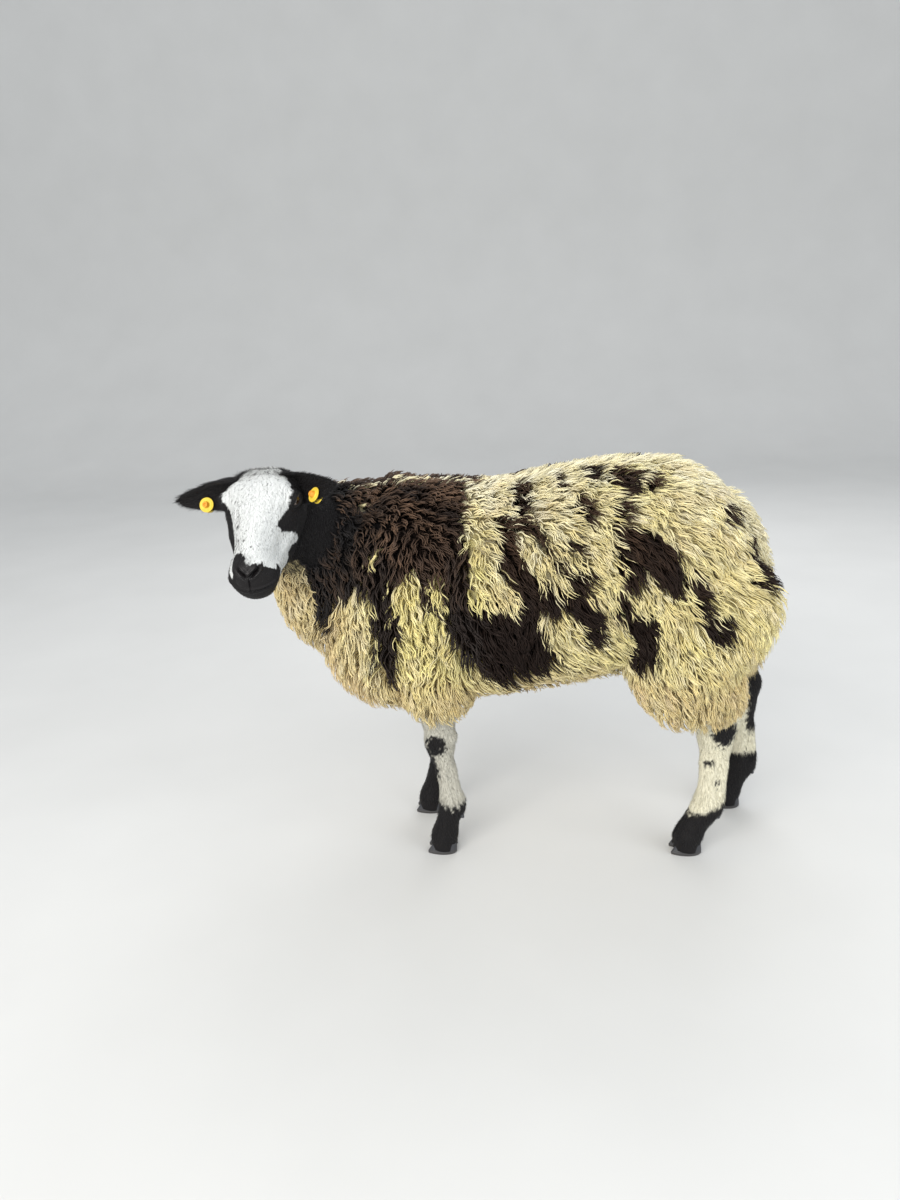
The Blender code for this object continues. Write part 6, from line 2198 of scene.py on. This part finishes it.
def soft_light(name, place, size, power, tone):
    """A large square light at a place, turned towards the animal."""
    data = bpy.data.lights.new(name, "AREA")
    data.size = size
    data.energy = power
    data.color = tone
    light = bpy.data.objects.new(name, data)
    back = unit(np.array(place) - np.array(LIGHT_AIM))
    right = unit(np.cross((0.0, 0.0, 1.0), back))
    turn = Matrix(np.stack([right, np.cross(back, right), back], 1)).to_4x4()
    light.matrix_world = Matrix.Translation(place) @ turn
    bpy.context.scene.collection.objects.link(light)


class LAMB_OT_stage(bpy.types.Operator):
    """Set the plain pale floor, the soft studio light and the camera"""

    bl_idname = "lamb.stage"
    bl_label = "Stage"

    def execute(self, context):
        settings = context.scene.lamb_stage
        points, quads = floor_mesh()
        floor = put_mesh("studio_floor", points, quads)
        if floor.data.polygons[0].normal.z < 0:
            floor.data.flip_normals()
        floor_finish(settings.floor_tone).give(floor)
        world = bpy.data.worlds.new("studio surround")
        world.use_nodes = True
        background = world.node_tree.nodes["Background"]
        background.inputs[0].default_value = SURROUND_TONE
        background.inputs[1].default_value = settings.sky
        context.scene.world = world
        for name, place, size, share, tone in LIGHTS:
            soft_light(name, place, size, settings.key_power * share, tone)
        upright = np.array((0.0, 0.0, 1.0))
        level = np.array((-math.sin(CAMERA_YAW), math.cos(CAMERA_YAW), 0.0))
        right = np.cross(level, upright)
        ahead = level * math.cos(CAMERA_PITCH) - upright * math.sin(CAMERA_PITCH)
        down = -upright * math.cos(CAMERA_PITCH) - level * math.sin(CAMERA_PITCH)
        axis_x = right * math.cos(CAMERA_ROLL) + down * math.sin(CAMERA_ROLL)
        axis_y = right * math.sin(CAMERA_ROLL) - down * math.cos(CAMERA_ROLL)
        data = bpy.data.cameras.new("camera")
        data.lens = settings.lens
        data.sensor_fit = "VERTICAL"
        data.sensor_height = 36.0
        camera = bpy.data.objects.new("camera", data)
        place = np.array((*CAMERA_PLACE, settings.camera_height)) + np.array(PLACE)
        turn = Matrix(np.stack([axis_x, axis_y, -ahead], axis=1)).to_4x4()
        camera.matrix_world = Matrix.Translation(place) @ turn
        context.scene.collection.objects.link(camera)
        context.scene.camera = camera
        return {"FINISHED"}


class LAMB_PT_panel(bpy.types.Panel):
    """The lamb's settings and pieces, in the order they are made"""

    bl_idname = "LAMB_PT_panel"
    bl_label = "Dutch spotted ram lamb"
    bl_space_type = "VIEW_3D"
    bl_region_type = "UI"
    bl_category = "Lamb"

    def draw(self, context):
        for name in ("lamb_coat", "lamb_stage"):
            group = getattr(context.scene, name)
            box = self.layout.box()
            for field in group.bl_rna.properties:
                if not field.is_readonly and field.identifier != "name":
                    box.prop(group, field.identifier)
        for piece in PIECES:
            self.layout.operator(piece.bl_idname)


GROUPS = (LambCoatSettings, LambStageSettings)
PIECES = (
    LAMB_OT_skin,
    LAMB_OT_eyes,
    LAMB_OT_hooves,
    LAMB_OT_tags,
    LAMB_OT_fleece,
    LAMB_OT_short_hair,
    LAMB_OT_stage,
)


def register():
    for made in (*GROUPS, *PIECES, LAMB_PT_panel):
        bpy.utils.register_class(made)
    bpy.types.Scene.lamb_coat = bpy.props.PointerProperty(type=LambCoatSettings)
    bpy.types.Scene.lamb_stage = bpy.props.PointerProperty(type=LambStageSettings)


def unregister():
    del bpy.types.Scene.lamb_coat
    del bpy.types.Scene.lamb_stage
    for made in reversed((*GROUPS, *PIECES, LAMB_PT_panel)):
        bpy.utils.unregister_class(made)


def main():
    register()
    bpy.ops.lamb.skin()
    bpy.ops.lamb.eyes()
    bpy.ops.lamb.hooves()
    bpy.ops.lamb.tags()
    bpy.ops.lamb.fleece()
    bpy.ops.lamb.short_hair()
    bpy.ops.lamb.stage()
    bpy.context.scene.view_settings.view_transform = "Standard"


if __name__ == "__main__":
    main()
